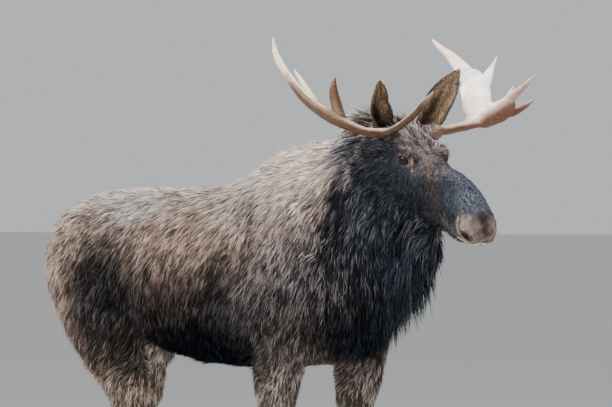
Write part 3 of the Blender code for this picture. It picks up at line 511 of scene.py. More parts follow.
def welded(name, nodes, grow=0.0):
    """Copies of CAD nodes in one mesh, each grown a little so that neighbours run into each other."""
    parts = []
    for node_name in nodes:
        mesh = bpy.data.meshes.new("part")
        body = bmesh.new()
        body.from_mesh(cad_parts[node_name].data)
        bmesh.ops.remove_doubles(body, verts=body.verts, dist=1e-5)
        bmesh.ops.recalc_face_normals(body, faces=body.faces)
        body.normal_update()
        moves = [v.normal * grow for v in body.verts]
        for vert, move in zip(body.verts, moves):
            vert.co += move
        body.to_mesh(mesh)
        body.free()
        parts.append(mesh)
    return joined(name, parts)


def melted(mesh, voxel):
    """The mesh as one surface of even quads."""
    obj = linked("melting", mesh)
    change = obj.modifiers.new("melt", "REMESH")
    change.mode = "VOXEL"
    change.voxel_size = voxel
    result = bpy.data.meshes.new_from_object(obj.evaluated_get(bpy.context.evaluated_depsgraph_get()))
    bpy.data.objects.remove(obj)
    bpy.data.meshes.remove(mesh)
    return result


def relaxed(mesh, rounds, weight=1.0, keep_volume=True):
    """Evens out the surface. weight says how much each point moves."""
    co = positions(mesh)
    a, b = values_of(mesh.edges, "vertices", 2, np.int32).T
    count = np.bincount(a, minlength=len(co)) + np.bincount(b, minlength=len(co))
    count = np.maximum(count, 1)[:, None]
    weight = weight * np.ones(len(co))
    for factor in [0.5, -0.53] * rounds if keep_volume else [0.5] * rounds:
        total = [np.bincount(a, co[b, k], len(co)) + np.bincount(b, co[a, k], len(co)) for k in range(3)]
        co = co + (np.stack(total, 1) / count - co) * (factor * weight)[:, None]
    set_positions(mesh, co)


# ---- materials

def node(tree, kind, **settings):
    """A new node of a material's tree."""
    made = tree.nodes.new(kind)
    for key, value in settings.items():
        setattr(made, key, value)
    return made


def fill(made, **values):
    """Sets inputs of a node by their names, with _ for a space."""
    for key, value in values.items():
        made.inputs[key.replace("_", " ")].default_value = value


def material_of(name):
    """A new material, its tree and its shader."""
    material = bpy.data.materials.new(name)
    material.use_nodes = True
    return material, material.node_tree, material.node_tree.nodes["Principled BSDF"]


def painted(tree):
    """The coordinates of the object and the colour painted on it."""
    coords = node(tree, "ShaderNodeTexCoord").outputs["Object"]
    return coords, node(tree, "ShaderNodeAttribute", attribute_name="coat").outputs["Color"]


def noise_of(tree, coords, scale, detail=4.0, stretch=None):
    """Noise in object space, drawn out along an axis if stretch is given."""
    if stretch:
        mapping = node(tree, "ShaderNodeMapping")
        fill(mapping, Scale=stretch)
        tree.links.new(coords, mapping.inputs["Vector"])
        coords = mapping.outputs["Vector"]
    noise = node(tree, "ShaderNodeTexNoise")
    fill(noise, Scale=scale, Detail=detail)
    tree.links.new(coords, noise.inputs["Vector"])
    return noise.outputs["Fac"]


def remapped(tree, value, low, high):
    """Noise as a level that runs from low to high."""
    ranged = node(tree, "ShaderNodeMapRange")
    fill(ranged, From_Min=0.3, From_Max=0.7, To_Min=low, To_Max=high)
    tree.links.new(value, ranged.inputs["Value"])
    return ranged.outputs["Result"]


def multiplied(tree, colour, level, factor):
    """The colour darkened by a level, as far as factor says."""
    mix = node(tree, "ShaderNodeMix", data_type="RGBA", blend_type="MULTIPLY")
    fill(mix, Factor=factor)
    tree.links.new(colour, mix.inputs["A"])
    tree.links.new(level, mix.inputs["B"])
    return mix.outputs["Result"]


def shaded(name, roughness, specular, layers, bump=None):
    """A material whose colour is the painted one, varied by layers of noise: (scale, low, high, stretch)."""
    material, tree, shader = material_of(name)
    coords, colour = painted(tree)
    for scale, low, high, stretch in layers:
        level = remapped(tree, noise_of(tree, coords, scale, stretch=stretch), low, high)
        colour = multiplied(tree, colour, level, 1.0)
    tree.links.new(colour, shader.inputs["Base Color"])
    fill(shader, Roughness=roughness, Specular_IOR_Level=specular)
    if bump:
        scale, distance, stretch = bump
        bumped = node(tree, "ShaderNodeBump")
        fill(bumped, Strength=1.0, Distance=distance)
        tree.links.new(noise_of(tree, coords, scale, 6.0, stretch), bumped.inputs["Height"])
        tree.links.new(bumped.outputs["Normal"], shader.inputs["Normal"])
    return material


def materials():
    """Every material of the animal, by the part it is for."""
    bone = [(22, 0.93, 1.05, None), (110, 0.95, 1.03, None)]
    return {
        "skin": shaded("skin", 0.72, 0.12, [(60, 0.75, 1.2, (1, 1, 0.35))], (260, 0.003, (1, 1, 0.5))),
        "hair": shaded("hair", 0.6, 0.0, [(35, 0.88, 1.12, None)]),
        "antler": shaded("antler", 0.46, 0.28, bone, (60, 0.0012, None)),
        "horn": shaded("horn", 0.42, 0.4, [(40, 0.7, 1.3, (1, 1, 5))], (30, 0.002, (1, 1, 7))),
        "eye": eye_material(),
    }


def eye_material():
    """The painted colour under a wet glaze."""
    material, tree, shader = material_of("eye")
    coords, colour = painted(tree)
    colour = multiplied(tree, colour, noise_of(tree, coords, 400), 0.5)
    tree.links.new(colour, shader.inputs["Base Color"])
    fill(shader, Roughness=0.07, Specular_IOR_Level=0.12, Coat_Weight=0.12, Coat_Roughness=0.03)
    return material


# ---- skin

FLESH = ["trunk", "neck", "head", "lower_jaw", "bell", "tail"]
LEG_NAMES = ["foreleg_right", "foreleg_left", "hind_leg_right", "hind_leg_left"]
FLESH += [name + part for name in LEG_NAMES for part in ("", "_shank")]
EARS = ["ear_right", "ear_left"]
TOES = [f"{leg}_{which}" for leg in LEG_NAMES for which in ("inner", "outer")]
HOOVES = [f"{part}_{toe}" for part in ("hoof", "dewclaw") for toe in TOES]
BEAMS = ["antler_right_beam", "antler_left_beam"]
EYES = {"eye_right": -1, "eye_left": 1}
FILLING = HOOVES[:8] + BEAMS + list(EYES)  # other solids that the skin runs under
SKIN_VOXEL = 0.01
GROWN = 0.0012  # how far the flesh solids grow to run into each other
SKIN_END = 0.036  # height at which the skin ends inside the hooves
HAIR_END = 0.055  # height at which the coat ends above them
SEAM_ANGLE = 66  # degrees between faces that part in the map OFBake

NOSTRIL = [(0.604, 0.075, -0.004), (0.62, 0.086, -0.027), (0.636, 0.08, -0.047), (0.658, 0.073, -0.056),
           (0.68, 0.059, -0.062)]
MOUTH = [(0.455, 0.064, -0.106), (0.52, 0.06, -0.112), (0.58, 0.056, -0.115), (0.64, 0.045, -0.118)]
# Lines sunk into the face: where the slope begins, where it ends, and how deep it goes.
FURROWS = [(MOUTH, 0.007, 0.001, 0.007), (TEAR_GLAND, 0.006, 0.001, 0.0035), (TEAR_PIT, 0.008, 0.002, 0.005)]
EYE_OUT = Vector((0.4, 0.91, 0.1)).normalized()
EYE_LEVEL = Vector((1.0, 0.0, 0.12))
EYE_ALONG = (EYE_LEVEL - EYE_OUT * EYE_LEVEL.dot(EYE_OUT)).normalized()
EYE_UP = EYE_ALONG.cross(EYE_OUT)
LID_REACH = 0.0212  # from the middle of the eye to its corners
UPPER_LID, LOWER_LID = 0.016, 0.0142  # from the middle of the eye to its lids


def nostril_width(share):
    """Half the width of the nostril, from its top to its lower end."""
    return 0.0042 + 0.0088 * smooth(0.45, 0.8, share)


def eye_opening(q):
    """How far out a point lies from the middle of the eye: 1 at the edge of the lids."""
    spoke = q - np.array(EYE_AT)
    up = spoke @ np.array(EYE_UP)
    height = np.where(up > 0, UPPER_LID, LOWER_LID)
    out = np.sqrt((spoke @ np.array(EYE_ALONG) / LID_REACH) ** 2 + (up / height) ** 2)
    return np.where(spoke @ np.array(EYE_OUT) > 0, out, 9.0)


def along_line(q, line):
    """Distance of each point from a line of points, and how far along it the nearest place is, 0 to 1."""
    best = np.full(len(q), 9.0)
    share = np.zeros(len(q))
    line = np.array(line)
    for i, (a, b) in enumerate(zip(line, line[1:])):
        t = np.clip((q - a) @ (b - a) / ((b - a) @ (b - a)), 0, 1)
        away = np.linalg.norm(q - a - t[:, None] * (b - a), axis=1)
        share = np.where(away < best, (i + t) / (len(line) - 1), share)
        best = np.minimum(best, away)
    return best, share


def picked_faces(body, wanted):
    """The faces that wanted picks by their centres."""
    centres = np.array([f.calc_center_median() for f in body.faces])
    return [f for f, yes in zip(body.faces, wanted(centres)) if yes]


def finer(mesh, wanted):
    """Halves the edges of the faces that wanted picks."""
    with editing(mesh) as body:
        edges = list({e for f in picked_faces(body, wanted) for e in f.edges})
        bmesh.ops.subdivide_edges(body, edges=edges, cuts=1, use_grid_fill=True, smooth=0.0)
        bmesh.ops.triangulate(body, faces=[f for f in body.faces if len(f.verts) > 4])


def on_face(centres):
    """Whether points lie on the head."""
    q = local(centres, "head")
    return (q[:, 0] > -0.02) & (np.abs(q[:, 2]) < 0.24)


def near_features(centres):
    """Whether points lie near an eye, a nostril or the mouth."""
    q = mirrored(centres, "head")
    close = away_from(q, EYE_AT) < 0.06075
    close |= along_line(q, NOSTRIL)[0] < 0.045
    return close | (along_line(q, MOUTH + LIP)[0] < 0.0225)


def at_openings(centres):
    """Whether points lie on the lids or round a nostril."""
    q = mirrored(centres, "head")
    return (eye_opening(q) < 1.9) | (along_line(q, NOSTRIL)[0] < 0.018)


def inside_horn(centres):
    """Parts of the skin that lie well inside an antler or a hoof."""
    gone = centres[:, 2] < SKIN_END
    for place in ("burr_right", "burr_left"):
        q = local(centres, place)
        gone |= (q[:, 1] > 0.012) & (np.abs(q[:, 0]) < 0.12) & (np.abs(q[:, 2]) < 0.06)
    return gone


def unwrapped(mesh):
    """Lays the surface out flat in the map OFBake."""
    mesh.uv_layers.new(name="OFBake")
    obj = linked("unwrapping", mesh)
    bpy.context.view_layer.objects.active = obj
    obj.select_set(True)
    bpy.ops.object.mode_set(mode="EDIT")
    bpy.ops.mesh.select_all(action="SELECT")
    bpy.ops.uv.smart_project(angle_limit=math.radians(SEAM_ANGLE), island_margin=0.002)
    bpy.ops.object.mode_set(mode="OBJECT")
    bpy.data.objects.remove(obj)


def sculpted(points, normals):
    """Lids, tear glands, nostrils, mouth and folds of the face."""
    q = mirrored(points, "head")
    x, y, z = q.T
    side = np.where(local(points, "head")[:, 1] < 0, -1.0, 1.0)
    near, share = along_line(q, NOSTRIL)
    pit = near / nostril_width(share)
    moved = -0.018 * smooth(1.05, 0.35, pit) + 0.004 * hill(pit, 1.75, 0.55)
    for line, outer, inner, depth in FURROWS:
        moved -= depth * smooth(outer, inner, along_line(q, line)[0])
    fold = np.sin((x * 0.6 + z) * 300 + 1.5 * np.sin(x * 60))
    moved += 0.0008 * fold * np.exp(-(((x - 0.6) / 0.05) ** 2 + ((z + 0.055) / 0.03) ** 2))
    moved += 0.01 * np.exp(-(((x - 0.285) / 0.045) ** 2 + (y / 0.06) ** 2)) * smooth(0.03, 0.07, z)
    moved += 0.0015 * waves(points, 0.045, 82) * smooth(0.62, 0.66, x)
    q = q + normals_in(normals, side) * moved[:, None]

    # the eye: an opening between two lids that follow the ball
    spoke = q - np.array(EYE_AT)
    opening = eye_opening(q)
    out = spoke @ np.array(EYE_OUT)
    reach = np.sum(spoke**2, axis=1) - out**2
    above = smooth(-0.004, 0.01, spoke @ np.array(EYE_UP))
    want = np.sqrt(np.maximum(EYE_RADIUS**2 - reach, (0.36 * EYE_RADIUS) ** 2)) - 0.0045
    want += 0.0076 * smooth(0.92, 1.08, opening)
    want += (0.0012 + 0.0014 * above) * hill(opening, 1.24, 0.15)  # rims of the lids
    want -= 0.0022 * hill(opening, 1.62, 0.16)  # crease behind them
    held = smooth(2.2, 1.5, opening) * smooth(-0.002, 0.004, out)
    q = q + ((want - out) * held)[:, None] * np.array(EYE_OUT)
    q[:, 1] *= side
    return placed_out(q, "head")


def normals_in(normals, side):
    """Directions of the row frame in the head frame, with both sides laid on the left."""
    turned_in = normals @ np.array(HEAD.to_3x3())
    turned_in[:, 1] *= side
    return turned_in


def body_skin():
    """The flesh as one surface, drawn in by the depth of the coat, with the face worked finely."""
    flesh = joined("flesh", [welded("parts", FLESH, GROWN), welded("filling", FILLING)])
    with editing(flesh) as whole:
        place = BODY @ Matrix.Translation((0.385, -0.05, 1.34)) @ Matrix.Diagonal((0.075, 0.035, 0.11, 1.0))
        bmesh.ops.create_icosphere(whole, subdivisions=3, radius=1.0, matrix=place)  # between bell and chest
    mesh = melted(flesh, SKIN_VOXEL)
    with editing(mesh) as body:
        bmesh.ops.delete(body, geom=picked_faces(body, inside_horn), context="FACES")
    ahead = local(positions(mesh), "head")[:, 0]
    plain = smooth(0.98, 1.15, local(positions(mesh), "body")[:, 2]) * smooth(0.03, -0.1, ahead)
    relaxed(mesh, 3)
    relaxed(mesh, 22, plain)
    unwrapped(mesh)
    for wanted in (on_face, near_features, at_openings):
        finer(mesh, wanted)
    relaxed(mesh, 8, smooth(-0.06, 0.02, local(positions(mesh), "head")[:, 0]))
    depth = blended(positions(mesh), COAT_START, COAT)[:, 0]
    set_positions(mesh, positions(mesh) - vertex_normals(mesh) * (depth + GROWN)[:, None])
    relaxed(mesh, 2)
    set_positions(mesh, sculpted(positions(mesh), vertex_normals(mesh)))
    return mesh


# ---- ears

# Side, root, tip and the way the cup opens, in the level head frame with y outward.
LEFT_EAR_ROOT = Vector((0.03, 0.085, 0.02))
RIGHT_EAR_ROOT = Vector((0.014, 0.098, 0.036))
EAR_SHAPES = {
    "ear_right": (-1, RIGHT_EAR_ROOT, Vector((0.131, 0.17, 0.225)), Vector((0.97, -0.25, 0.0))),
    "ear_left": (1, LEFT_EAR_ROOT, Vector((0.06, 0.275, 0.257)), Vector((1.00, -0.15, 0.0))),
}
# How brightly the inner hair of each ear is painted: the near right ear a little darker, as painted shade.
EAR_INNER_LIGHT = {"ear_right": 1.15, "ear_left": 1.25}
EAR_ROWS, EAR_COLUMNS = 30, 21
EAR_WIDTH = 0.058  # half the width of the ear where it is widest


def ear_sheet(name):
    """Grid of points of the ear's middle layer, its outward normals and its length along and across."""
    side, root, tip, facing = EAR_SHAPES[name]
    along = (tip - root).normalized()
    facing = (facing - along * facing.dot(along)).normalized()
    across = along.cross(facing)
    grid, normal = [], []
    for i in range(EAR_ROWS):
        u = i / (EAR_ROWS - 1)
        below, above = min(1, u / 0.45), max(0, (u - 0.45) / 0.55)
        half = EAR_WIDTH * (0.42 + 0.58 * math.sin(math.pi / 2 * below)) * (1 - 0.93 * above**2.0)
        curl = math.radians(138 - 85 * below)
        radius = half / math.sin(min(curl, math.pi / 2))
        for j in range(EAR_COLUMNS):
            v = 2 * j / (EAR_COLUMNS - 1) - 1
            turn = curl * v
            out = across * math.sin(turn) - facing * math.cos(turn)
            point = root.lerp(tip, u) + radius * (out + facing * 0.7)
            grid.append(LEVEL_HEAD @ Vector((point.x, side * point.y, point.z)))
            normal.append(LEVEL_HEAD.to_3x3() @ Vector((out.x, side * out.y, out.z)))
    u, v = np.meshgrid(np.linspace(0, 1, EAR_ROWS), np.linspace(-1, 1, EAR_COLUMNS), indexing="ij")
    return np.array(grid), np.array(normal), u.ravel(), v.ravel()


def ear_mesh(name, number):
    """Two layers of skin joined round the rim, laid out in the map OFBake beside the rest of the skin.

    Returns the mesh and, for each point, how far along and across the ear it lies and 1 for the outer layer.
    """
    grid, normal, u, v = ear_sheet(name)
    thick = 0.0032 * (1 - 0.6 * np.abs(v)) * (1 - 0.5 * u) + 0.001
    points = np.concatenate([grid + normal * thick[:, None], grid - normal * thick[:, None]])
    count = len(grid)
    spot = np.arange(count).reshape(EAR_ROWS, EAR_COLUMNS)
    cell = np.stack([spot[:-1, :-1], spot[:-1, 1:], spot[1:, 1:], spot[1:, :-1]], 2).reshape(-1, 4)
    sheets = np.stack([cell, cell[:, [0, 3, 2, 1]] + count], 1).reshape(-1, 4)
    border = np.concatenate([spot[0], spot[1:, -1], spot[-1, -2::-1], spot[-2::-1, 0]])
    a, b = border[:-1], border[1:]
    quads = np.concatenate([sheets, np.stack([b, a, a + count, b + count], 1)])[:, ::EAR_SHAPES[name][0]]
    mesh = mesh_of(name, points, quads)
    u, v, outer = np.tile(u, 2), np.tile(v, 2), np.repeat([1.0, 0.0], count)
    spots = np.stack([0.94 + 0.05 * v, 0.02 + 0.48 * number + 0.23 * (1 - outer) + 0.2 * u], 1)
    lay_out(mesh, spots[quads.ravel()])
    return mesh, np.stack([u, v, outer], 1)


def ear_colours(name, place, points):
    """Dark grey-brown back with a rusty root; tan hair inside with a dark hollow and light streaks."""
    u, v, outer = place.T
    back = rgb(0.085, 0.068, 0.06) * (1 + 0.5 * waves(points, 0.03, 50)[:, None])
    back = back + smooth(0.35, 0.0, u)[:, None] * rgb(0.1, 0.05, 0.02)
    streak = 0.5 + 0.5 * np.sin(v * 11 + 2 * waves(points, 0.08, 51))
    inner = rgb(0.4, 0.27, 0.175) * EAR_INNER_LIGHT[name] * (0.7 + 0.6 * streak[:, None])
    inner = inner * (1 - 0.82 * (hill(v, 0, 0.42) * smooth(0.8, 0.35, u))[:, None])
    inner = mixed(inner, rgb(0.16, 0.075, 0.035), smooth(0.3, 0.05, u)[:, None] * 0.5)
    inner = mixed(inner, rgb(0.075, 0.066, 0.062), smooth(0.84, 0.99, np.abs(v))[:, None])
    shade = np.where(outer[:, None] > 0.5, back, inner)
    return np.clip(mixed(shade, rgb(0.03, 0.026, 0.026), smooth(0.14, 0.05, u)[:, None]), 0.004, 1)


def ear_hair(mesh, name, place, look, thin):
    """Short hair on the back of the ear, a fringe along its rim and long light hair across its hollow."""
    spread = scattered(mesh, lambda c: np.full(len(c), EAR_SPACING * thin), 40, None, place)
    rng = np.random.default_rng(41)
    u, v, outer = spread.extra.T
    count = len(u)
    side, root, tip, facing = EAR_SHAPES[name]
    turn = np.array(LEVEL_HEAD.to_3x3())
    along = turn @ (np.array(tip - root) * (1, side, 1))
    sideways = unit(np.cross(along, turn @ (np.array(facing) * (1, side, 1))))
    rim = smooth(0.78, 0.97, np.abs(v))
    way = unit(along) + (0.25 * (1 - outer) * np.sign(-v) * (1 - rim))[:, None] * sideways
    way = way + (rim * 0.45 * np.sign(v))[:, None] * sideways * side
    way = way + 0.16 * rng.normal(size=(count, 3))
    way = unit(way - spread.normals * np.sum(way * spread.normals, 1, keepdims=True))
    length = (0.013 + 0.017 * (1 - outer) * (1 - 0.5 * u)) * rng.uniform(0.6, 1.3, count) * (1 - 0.45 * rim)
    rise = (0.0022 + 0.006 * (1 - outer) * (1 - rim)) * rng.uniform(0.4, 1.2, count)
    colour = ear_colours(name, spread.extra, spread.points) * np.exp(rng.normal(0, 0.22, count))[:, None]
    pale = (rng.uniform(size=count) < 0.3 * (1 - outer))[:, None]
    tips = colour * np.where(pale, 1.7, 1.15)
    blades = Blades(way, length, np.full(count, 0.0021), rise, colour * 0.5, tips)
    tufts(name + "_hair", spread, blades, 0.4, look, 1)


# ---- tufts

Spread = namedtuple("Spread", "points normals uv extra")
Blades = namedtuple("Blades", "way length width rise root tip")
PIECE_LIMIT = 185000  # triangles of a piece of the coat
PATCH = 0.003  # side of the patch that each tuft has in the map OFBake
SUNK = 0.0015  # how deep the roots of tufts lie under the skin
# The three points of each ring of a tuft, to the side and up, and the width of each ring.
RING_POINTS = ((-1, 0.0), (0, 0.55), (1, 0.0))
RING_WIDTHS = (0.46, 0.5, 0.36)


def picked(rows, pick):
    """The rows of a spread or of blades that pick names."""
    return type(rows)(*(values[pick] for values in rows))


def skin_triangles(mesh):
    """The points of each triangle of the mesh, and their places in the map OFBake."""
    mesh.calc_loop_triangles()
    corners = values_of(mesh.loop_triangles, "vertices", 3, np.int32)
    loops = values_of(mesh.loop_triangles, "loops", 3, np.int32)
    return corners, values_of(mesh.uv_layers["OFBake"].data, "uv", 2)[loops]


def scattered(mesh, spacing_of, seed, usable=None, extra=None):
    """Evenly strewn places on the skin, closer together where spacing_of gives less.

    extra is values of the mesh's points that each place takes a share of.
    """
    rng = np.random.default_rng(seed)
    corners, uv = skin_triangles(mesh)
    abc = positions(mesh)[corners]
    centres = abc.mean(1)
    area = np.linalg.norm(np.cross(abc[:, 1] - abc[:, 0], abc[:, 2] - abc[:, 0]), axis=1) / 2
    hoped = area / spacing_of(centres) ** 2
    if usable is not None:
        hoped = hoped * usable(centres)
    total = np.cumsum(hoped)
    marks = np.arange(int(total[-1])) + rng.uniform(0, 1, int(total[-1]))
    chosen = np.minimum(np.searchsorted(total, marks), len(total) - 1)
    r, s = np.sqrt(rng.uniform(size=len(chosen))), rng.uniform(size=len(chosen))
    share = np.stack([1 - r, r * (1 - s), r * s], 1)

    def shared(values):
        return np.einsum("nk,nkd->nd", share, values[chosen])

    more = np.zeros((len(chosen), 1)) if extra is None else shared(extra[corners])
    return Spread(shared(abc), unit(shared(vertex_normals(mesh)[corners])), shared(uv), more)


def tuft_faces(rings):
    """The faces of a tuft with some rings of three points and a single tip."""
    faces = [(0, 2, 1)]
    for k in range(rings - 1):
        for i in range(3):
            j = (i + 1) % 3
            a, b, c, d = 3 * k + i, 3 * k + j, 3 * k + 3 + j, 3 * k + 3 + i
            faces += [(a, b, c), (a, c, d)]
    tip = 3 * rings
    faces += [(tip - 3 + i, tip - 3 + (i + 1) % 3, tip) for i in range(3)]
    return np.array(faces)


def tufts(name, spread, blades, steep, material, segments=2, droop=0.0):
    """Tapered blades that leave the skin along their way, rise above it and end in a point.

    Each blade's place in the map OFBake is a small patch at its root's own place.
    """
    way, length, width, rise, root, tip = blades
    count, size = len(way), 3 * segments + 1
    across = unit(np.cross(spread.normals, way))
    verts, shades, uvs = (np.empty((count, size, k)) for k in (3, 3, 2))
    lean = np.random.default_rng(1).normal(0, 0.1, count)[:, None] * across
    for k in range(segments + 1):
        s = k / segments
        up = rise * ((1 - steep) * math.sin(math.pi / 2 * s) ** 0.9 + steep * s) - SUNK * (1 - s)
        centre = spread.points + (way + lean * s) * (length * s)[:, None] + spread.normals * up[:, None]
        centre[:, 2] -= droop * length * s * s
        shade = mixed(root, tip, s**0.8)
        if k == segments:
            verts[:, -1] = centre
            shades[:, -1] = shade
            uvs[:, -1] = spread.uv + np.array([0.0, PATCH / 2])
            break
        half = width * RING_WIDTHS[k]
        for i, (x, z) in enumerate(RING_POINTS):
            verts[:, 3 * k + i] = centre + across * (x * half)[:, None] + spread.normals * (z * half)[:, None]
            shades[:, 3 * k + i] = shade
            uvs[:, 3 * k + i] = spread.uv + np.array([PATCH / 2 * (i - 1), PATCH * s - PATCH / 2])
    pattern = tuft_faces(segments)
    limit = PIECE_LIMIT // len(pattern)
    for part, start in enumerate(range(0, count, limit)):
        chosen = slice(start, start + limit)
        step = np.arange(len(verts[chosen]))[:, None, None] * size
        faces = (pattern[None] + step).reshape(-1, 3)
        mesh = mesh_of(f"{name}_{part + 1}", verts[chosen].reshape(-1, 3), faces)
        paint(mesh, shades[chosen].reshape(-1, 3))
        lay_out(mesh, uvs[chosen].reshape(-1, 2)[faces.ravel()])
        placed(mesh.name, mesh, material)


PALEST = rgb(0.98, 0.91, 0.86)  # the palest tip
SHORT = 0.034  # tufts shorter than this are plain spikes
LONG_SPACING, GUARD_SPACING, EAR_SPACING = 0.0085, 0.0078, 0.003
LOCK, LONG_LOCK = 0.0068, 0.016  # how wide the locks are that hairs gather in


def coat_colours(points, marks, lock, rng):
    """Root and tip colours of hairs: locks and single hairs differ, and grizzled ones have pale tips."""
    count = len(points)
    patchy = 1 + 0.16 * waves(points, 0.16, 6) + 0.16 * waves(points, 0.05, 7)
    bright = marks[:, 0]
    level = np.exp(rng.normal(0, 0.42, count) + (1.95 - 0.75 * bright) * (lock - 0.5))
    level = level * np.clip(patchy, 0.5, 1.6)
    warm = rng.normal(0, 1, count)[:, None] * rgb(0.05, 0.0, -0.09)
    colour = marks[:, :3] * level[:, None] * (1 + warm) * (1 - 0.45 * marks[:, 3:])
    few = 1 - 0.85 * marks[:, 3]
    pale = rng.uniform(size=count) < 0.95 * smooth(few - 0.16, few + 0.16, lock)
    light = np.clip(marks[:, :3] * 2.2 + marks[:, 3:] * rgb(0.3, 0.285, 0.285), 0, PALEST)
    tip = np.where(pale[:, None], light, colour * 1.05)
    # Dark roots: the hair's dark under-colour, and painted shadow deep between the strands.
    root = colour * (np.where(pale, 0.55, 0.34) + 0.3 * bright**2)[:, None]
    return root, tip


def growth(centres):
    """How freely tufts grow: not at all on eyes, nostrils and lips, and not inside horn."""
    q = mirrored(centres, "head")
    keep = (eye_opening(q) > 1.75) * (along_line(q, MOUTH)[0] > 0.005)
    near, share = along_line(q, NOSTRIL)
    keep = keep * (near / nostril_width(share) > 2.2) * (along_line(q, TEAR_GLAND)[0] > 0.006)
    keep = keep * (1 - 0.7 * smooth(0.62, 0.68, q[:, 0]))
    for place in ("burr_right", "burr_left"):
        keep = keep * (away_from(local(centres, place), (0, 0.04, 0)) > 0.032)
    return keep * (centres[:, 2] > HAIR_END)


def trunk_coat(skin, look, thin):
    """The coat of trunk, neck, legs and head: curved blades, and plain spikes where the hair is short."""
    rng = np.random.default_rng(11)
    spread = scattered(skin, lambda c: blended(c, COAT_START, COAT)[:, 3] * thin, 12, growth)
    depth, length, width, _, steep = blended(spread.points, COAT_START, COAT).T
    way, lock, other = gathered(spread, lie_of(spread.points, spread.normals), length, LOCK, 0.42)
    way = strayed(way, spread.normals, 0.09, rng)
    count = len(way)
    root, tip = coat_colours(spread.points, marked(spread.points), lock, rng)
    grown = length * rng.uniform(0.7, 1.25, count)
    width = width * rng.uniform(0.7, 1.2, count)
    lift = rng.uniform(0.4, 0.95, count) + 0.6 * steep * rng.uniform(0, 1, count)
    blades = Blades(way, grown, width, depth * lift * (0.55 + 0.8 * other) + 0.001, root, tip)
    order = np.lexsort((spread.points[:, 0], local(spread.points, "head")[:, 0] > -0.03))
    for name, wanted, segments in (("coat", length >= SHORT, 2), ("short_coat", length < SHORT, 1)):
        pick = order[wanted[order]]
        tufts(name, picked(spread, pick), picked(blades, pick), 0.35, look, segments)


def long_coat(skin, look, thin):
    """Long hair of mane, bell, chest and poll."""
    rng = np.random.default_rng(21)
    spread = scattered(skin, lambda c: np.full(len(c), LONG_SPACING * thin), 22,
                       lambda c: growth(c) * blended(c, LONG_START, LONG)[:, 0])
    _, length, rise, droop = blended(spread.points, LONG_START, LONG).T
    count = len(length)
    way, lock, _ = gathered(spread, lie_of(spread.points, spread.normals), length, LONG_LOCK, 0.5)
    way = strayed(way, spread.normals, 0.14, rng)
    marks = marked(spread.points)
    marks[:, :3] *= 0.75
    root, tip = coat_colours(spread.points, marks, lock, rng)
    length = length * rng.uniform(0.55, 1.2, count)
    rise = rise * rng.uniform(0.35, 1.15, count)
    blades = Blades(way, length, rng.uniform(0.0032, 0.0052, count), rise, root, tip)
    tufts("long_hair", spread, blades, 0.55, look, 3, droop)


def guarded(centres):
    """Where guard hairs grow: on the grizzled coat behind the head."""
    return growth(centres) * smooth(0.12, 0.4, marked(centres)[:, 3]) * (local(centres, "head")[:, 0] < 0.0)


def guard_hairs(skin, look, thin):
    """Thin single hairs that lie over the coat of back, hump, flank and rump, most of them with pale tips."""
    rng = np.random.default_rng(31)
    spread = scattered(skin, lambda c: np.full(len(c), GUARD_SPACING * thin), 32, guarded)
    depth, length = blended(spread.points, COAT_START, COAT)[:, :2].T
    count = len(depth)
    way = strayed(lie_of(spread.points, spread.normals, 0.2), spread.normals, 0.17, rng)
    marks = marked(spread.points)
    pale = rng.uniform(size=(count, 1)) < 0.4 + 0.6 * marks[:, 3:]
    light = np.clip(marks[:, :3] * 2.5 + marks[:, 3:] * 0.24, 0, PALEST)
    tip = np.where(pale, light, marks[:, :3] * rgb(0.36, 0.3, 0.26))
    length = length * rng.uniform(0.9, 1.4, count)
    rise = depth * rng.uniform(0.9, 1.25, count) + 0.001
    blades = Blades(way, length, rng.uniform(0.0018, 0.0029, count), rise, tip * 0.45, tip)
    tufts("guard_hair", spread, blades, 0.35, look, 1)


# ---- eyes, antlers, hooves

def eyeball(name, side, look):
    """A dark brown eye with a bulging cornea and a wide level pupil."""
    rows, columns = 40, 48
    turn = np.array(HEAD.to_3x3()) @ np.diag((1, side, 1))
    centre = np.array(HEAD @ Vector((EYE_AT.x, side * EYE_AT.y, EYE_AT.z)))
    out, level, up = (turn @ np.array(way) for way in (EYE_OUT, EYE_ALONG, EYE_UP))
    tilts, spins = np.linspace(0, math.pi, rows + 1)[1:-1], np.arange(columns) * 2 * math.pi / columns
    tilt, spin = np.meshgrid(tilts, spins, indexing="ij")
    tilt = np.concatenate([[0.0], tilt.ravel(), [math.pi]])
    spin = np.concatenate([[0.0], spin.ravel(), [0.0]])
    x, y, z = np.sin(tilt) * np.cos(spin), np.sin(tilt) * np.sin(spin), np.cos(tilt)
    bulge = EYE_RADIUS * (1 + 0.05 * np.maximum(0.0, 1 - (tilt / 0.7) ** 2))
    verts = centre + bulge[:, None] * (x[:, None] * level + y[:, None] * up + z[:, None] * out)
    faces = []
    last = len(verts) - 1
    for j in range(columns):
        k = (j + 1) % columns
        faces += [(0, 1 + j, 1 + k), (last, last - columns + k, last - columns + j)]
        for i in range(rows - 2):
            a, b = 1 + i * columns + j, 1 + i * columns + k
            faces += [(a, a + columns, b + columns), (a, b + columns, b)]
    mesh = mesh_of(name + "_ball", verts, np.array(faces)[:, ::side])
    iris = smooth(0.8, 0.7, tilt)[:, None]
    pupil = (smooth(1.12, 0.85, np.hypot(x / 0.4, y / 0.21)) * (z > 0))[:, None]
    shade = rgb(0.016, 0.012, 0.012) * (1 - iris)
    shade = shade + rgb(0.009, 0.006, 0.01) * (1 + 0.35 * np.cos(spin * 20))[:, None] * iris
    paint(mesh, shade * (1 - pupil) + 0.002 * pupil)
    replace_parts(placed(name + "_ball", mesh, look), name)


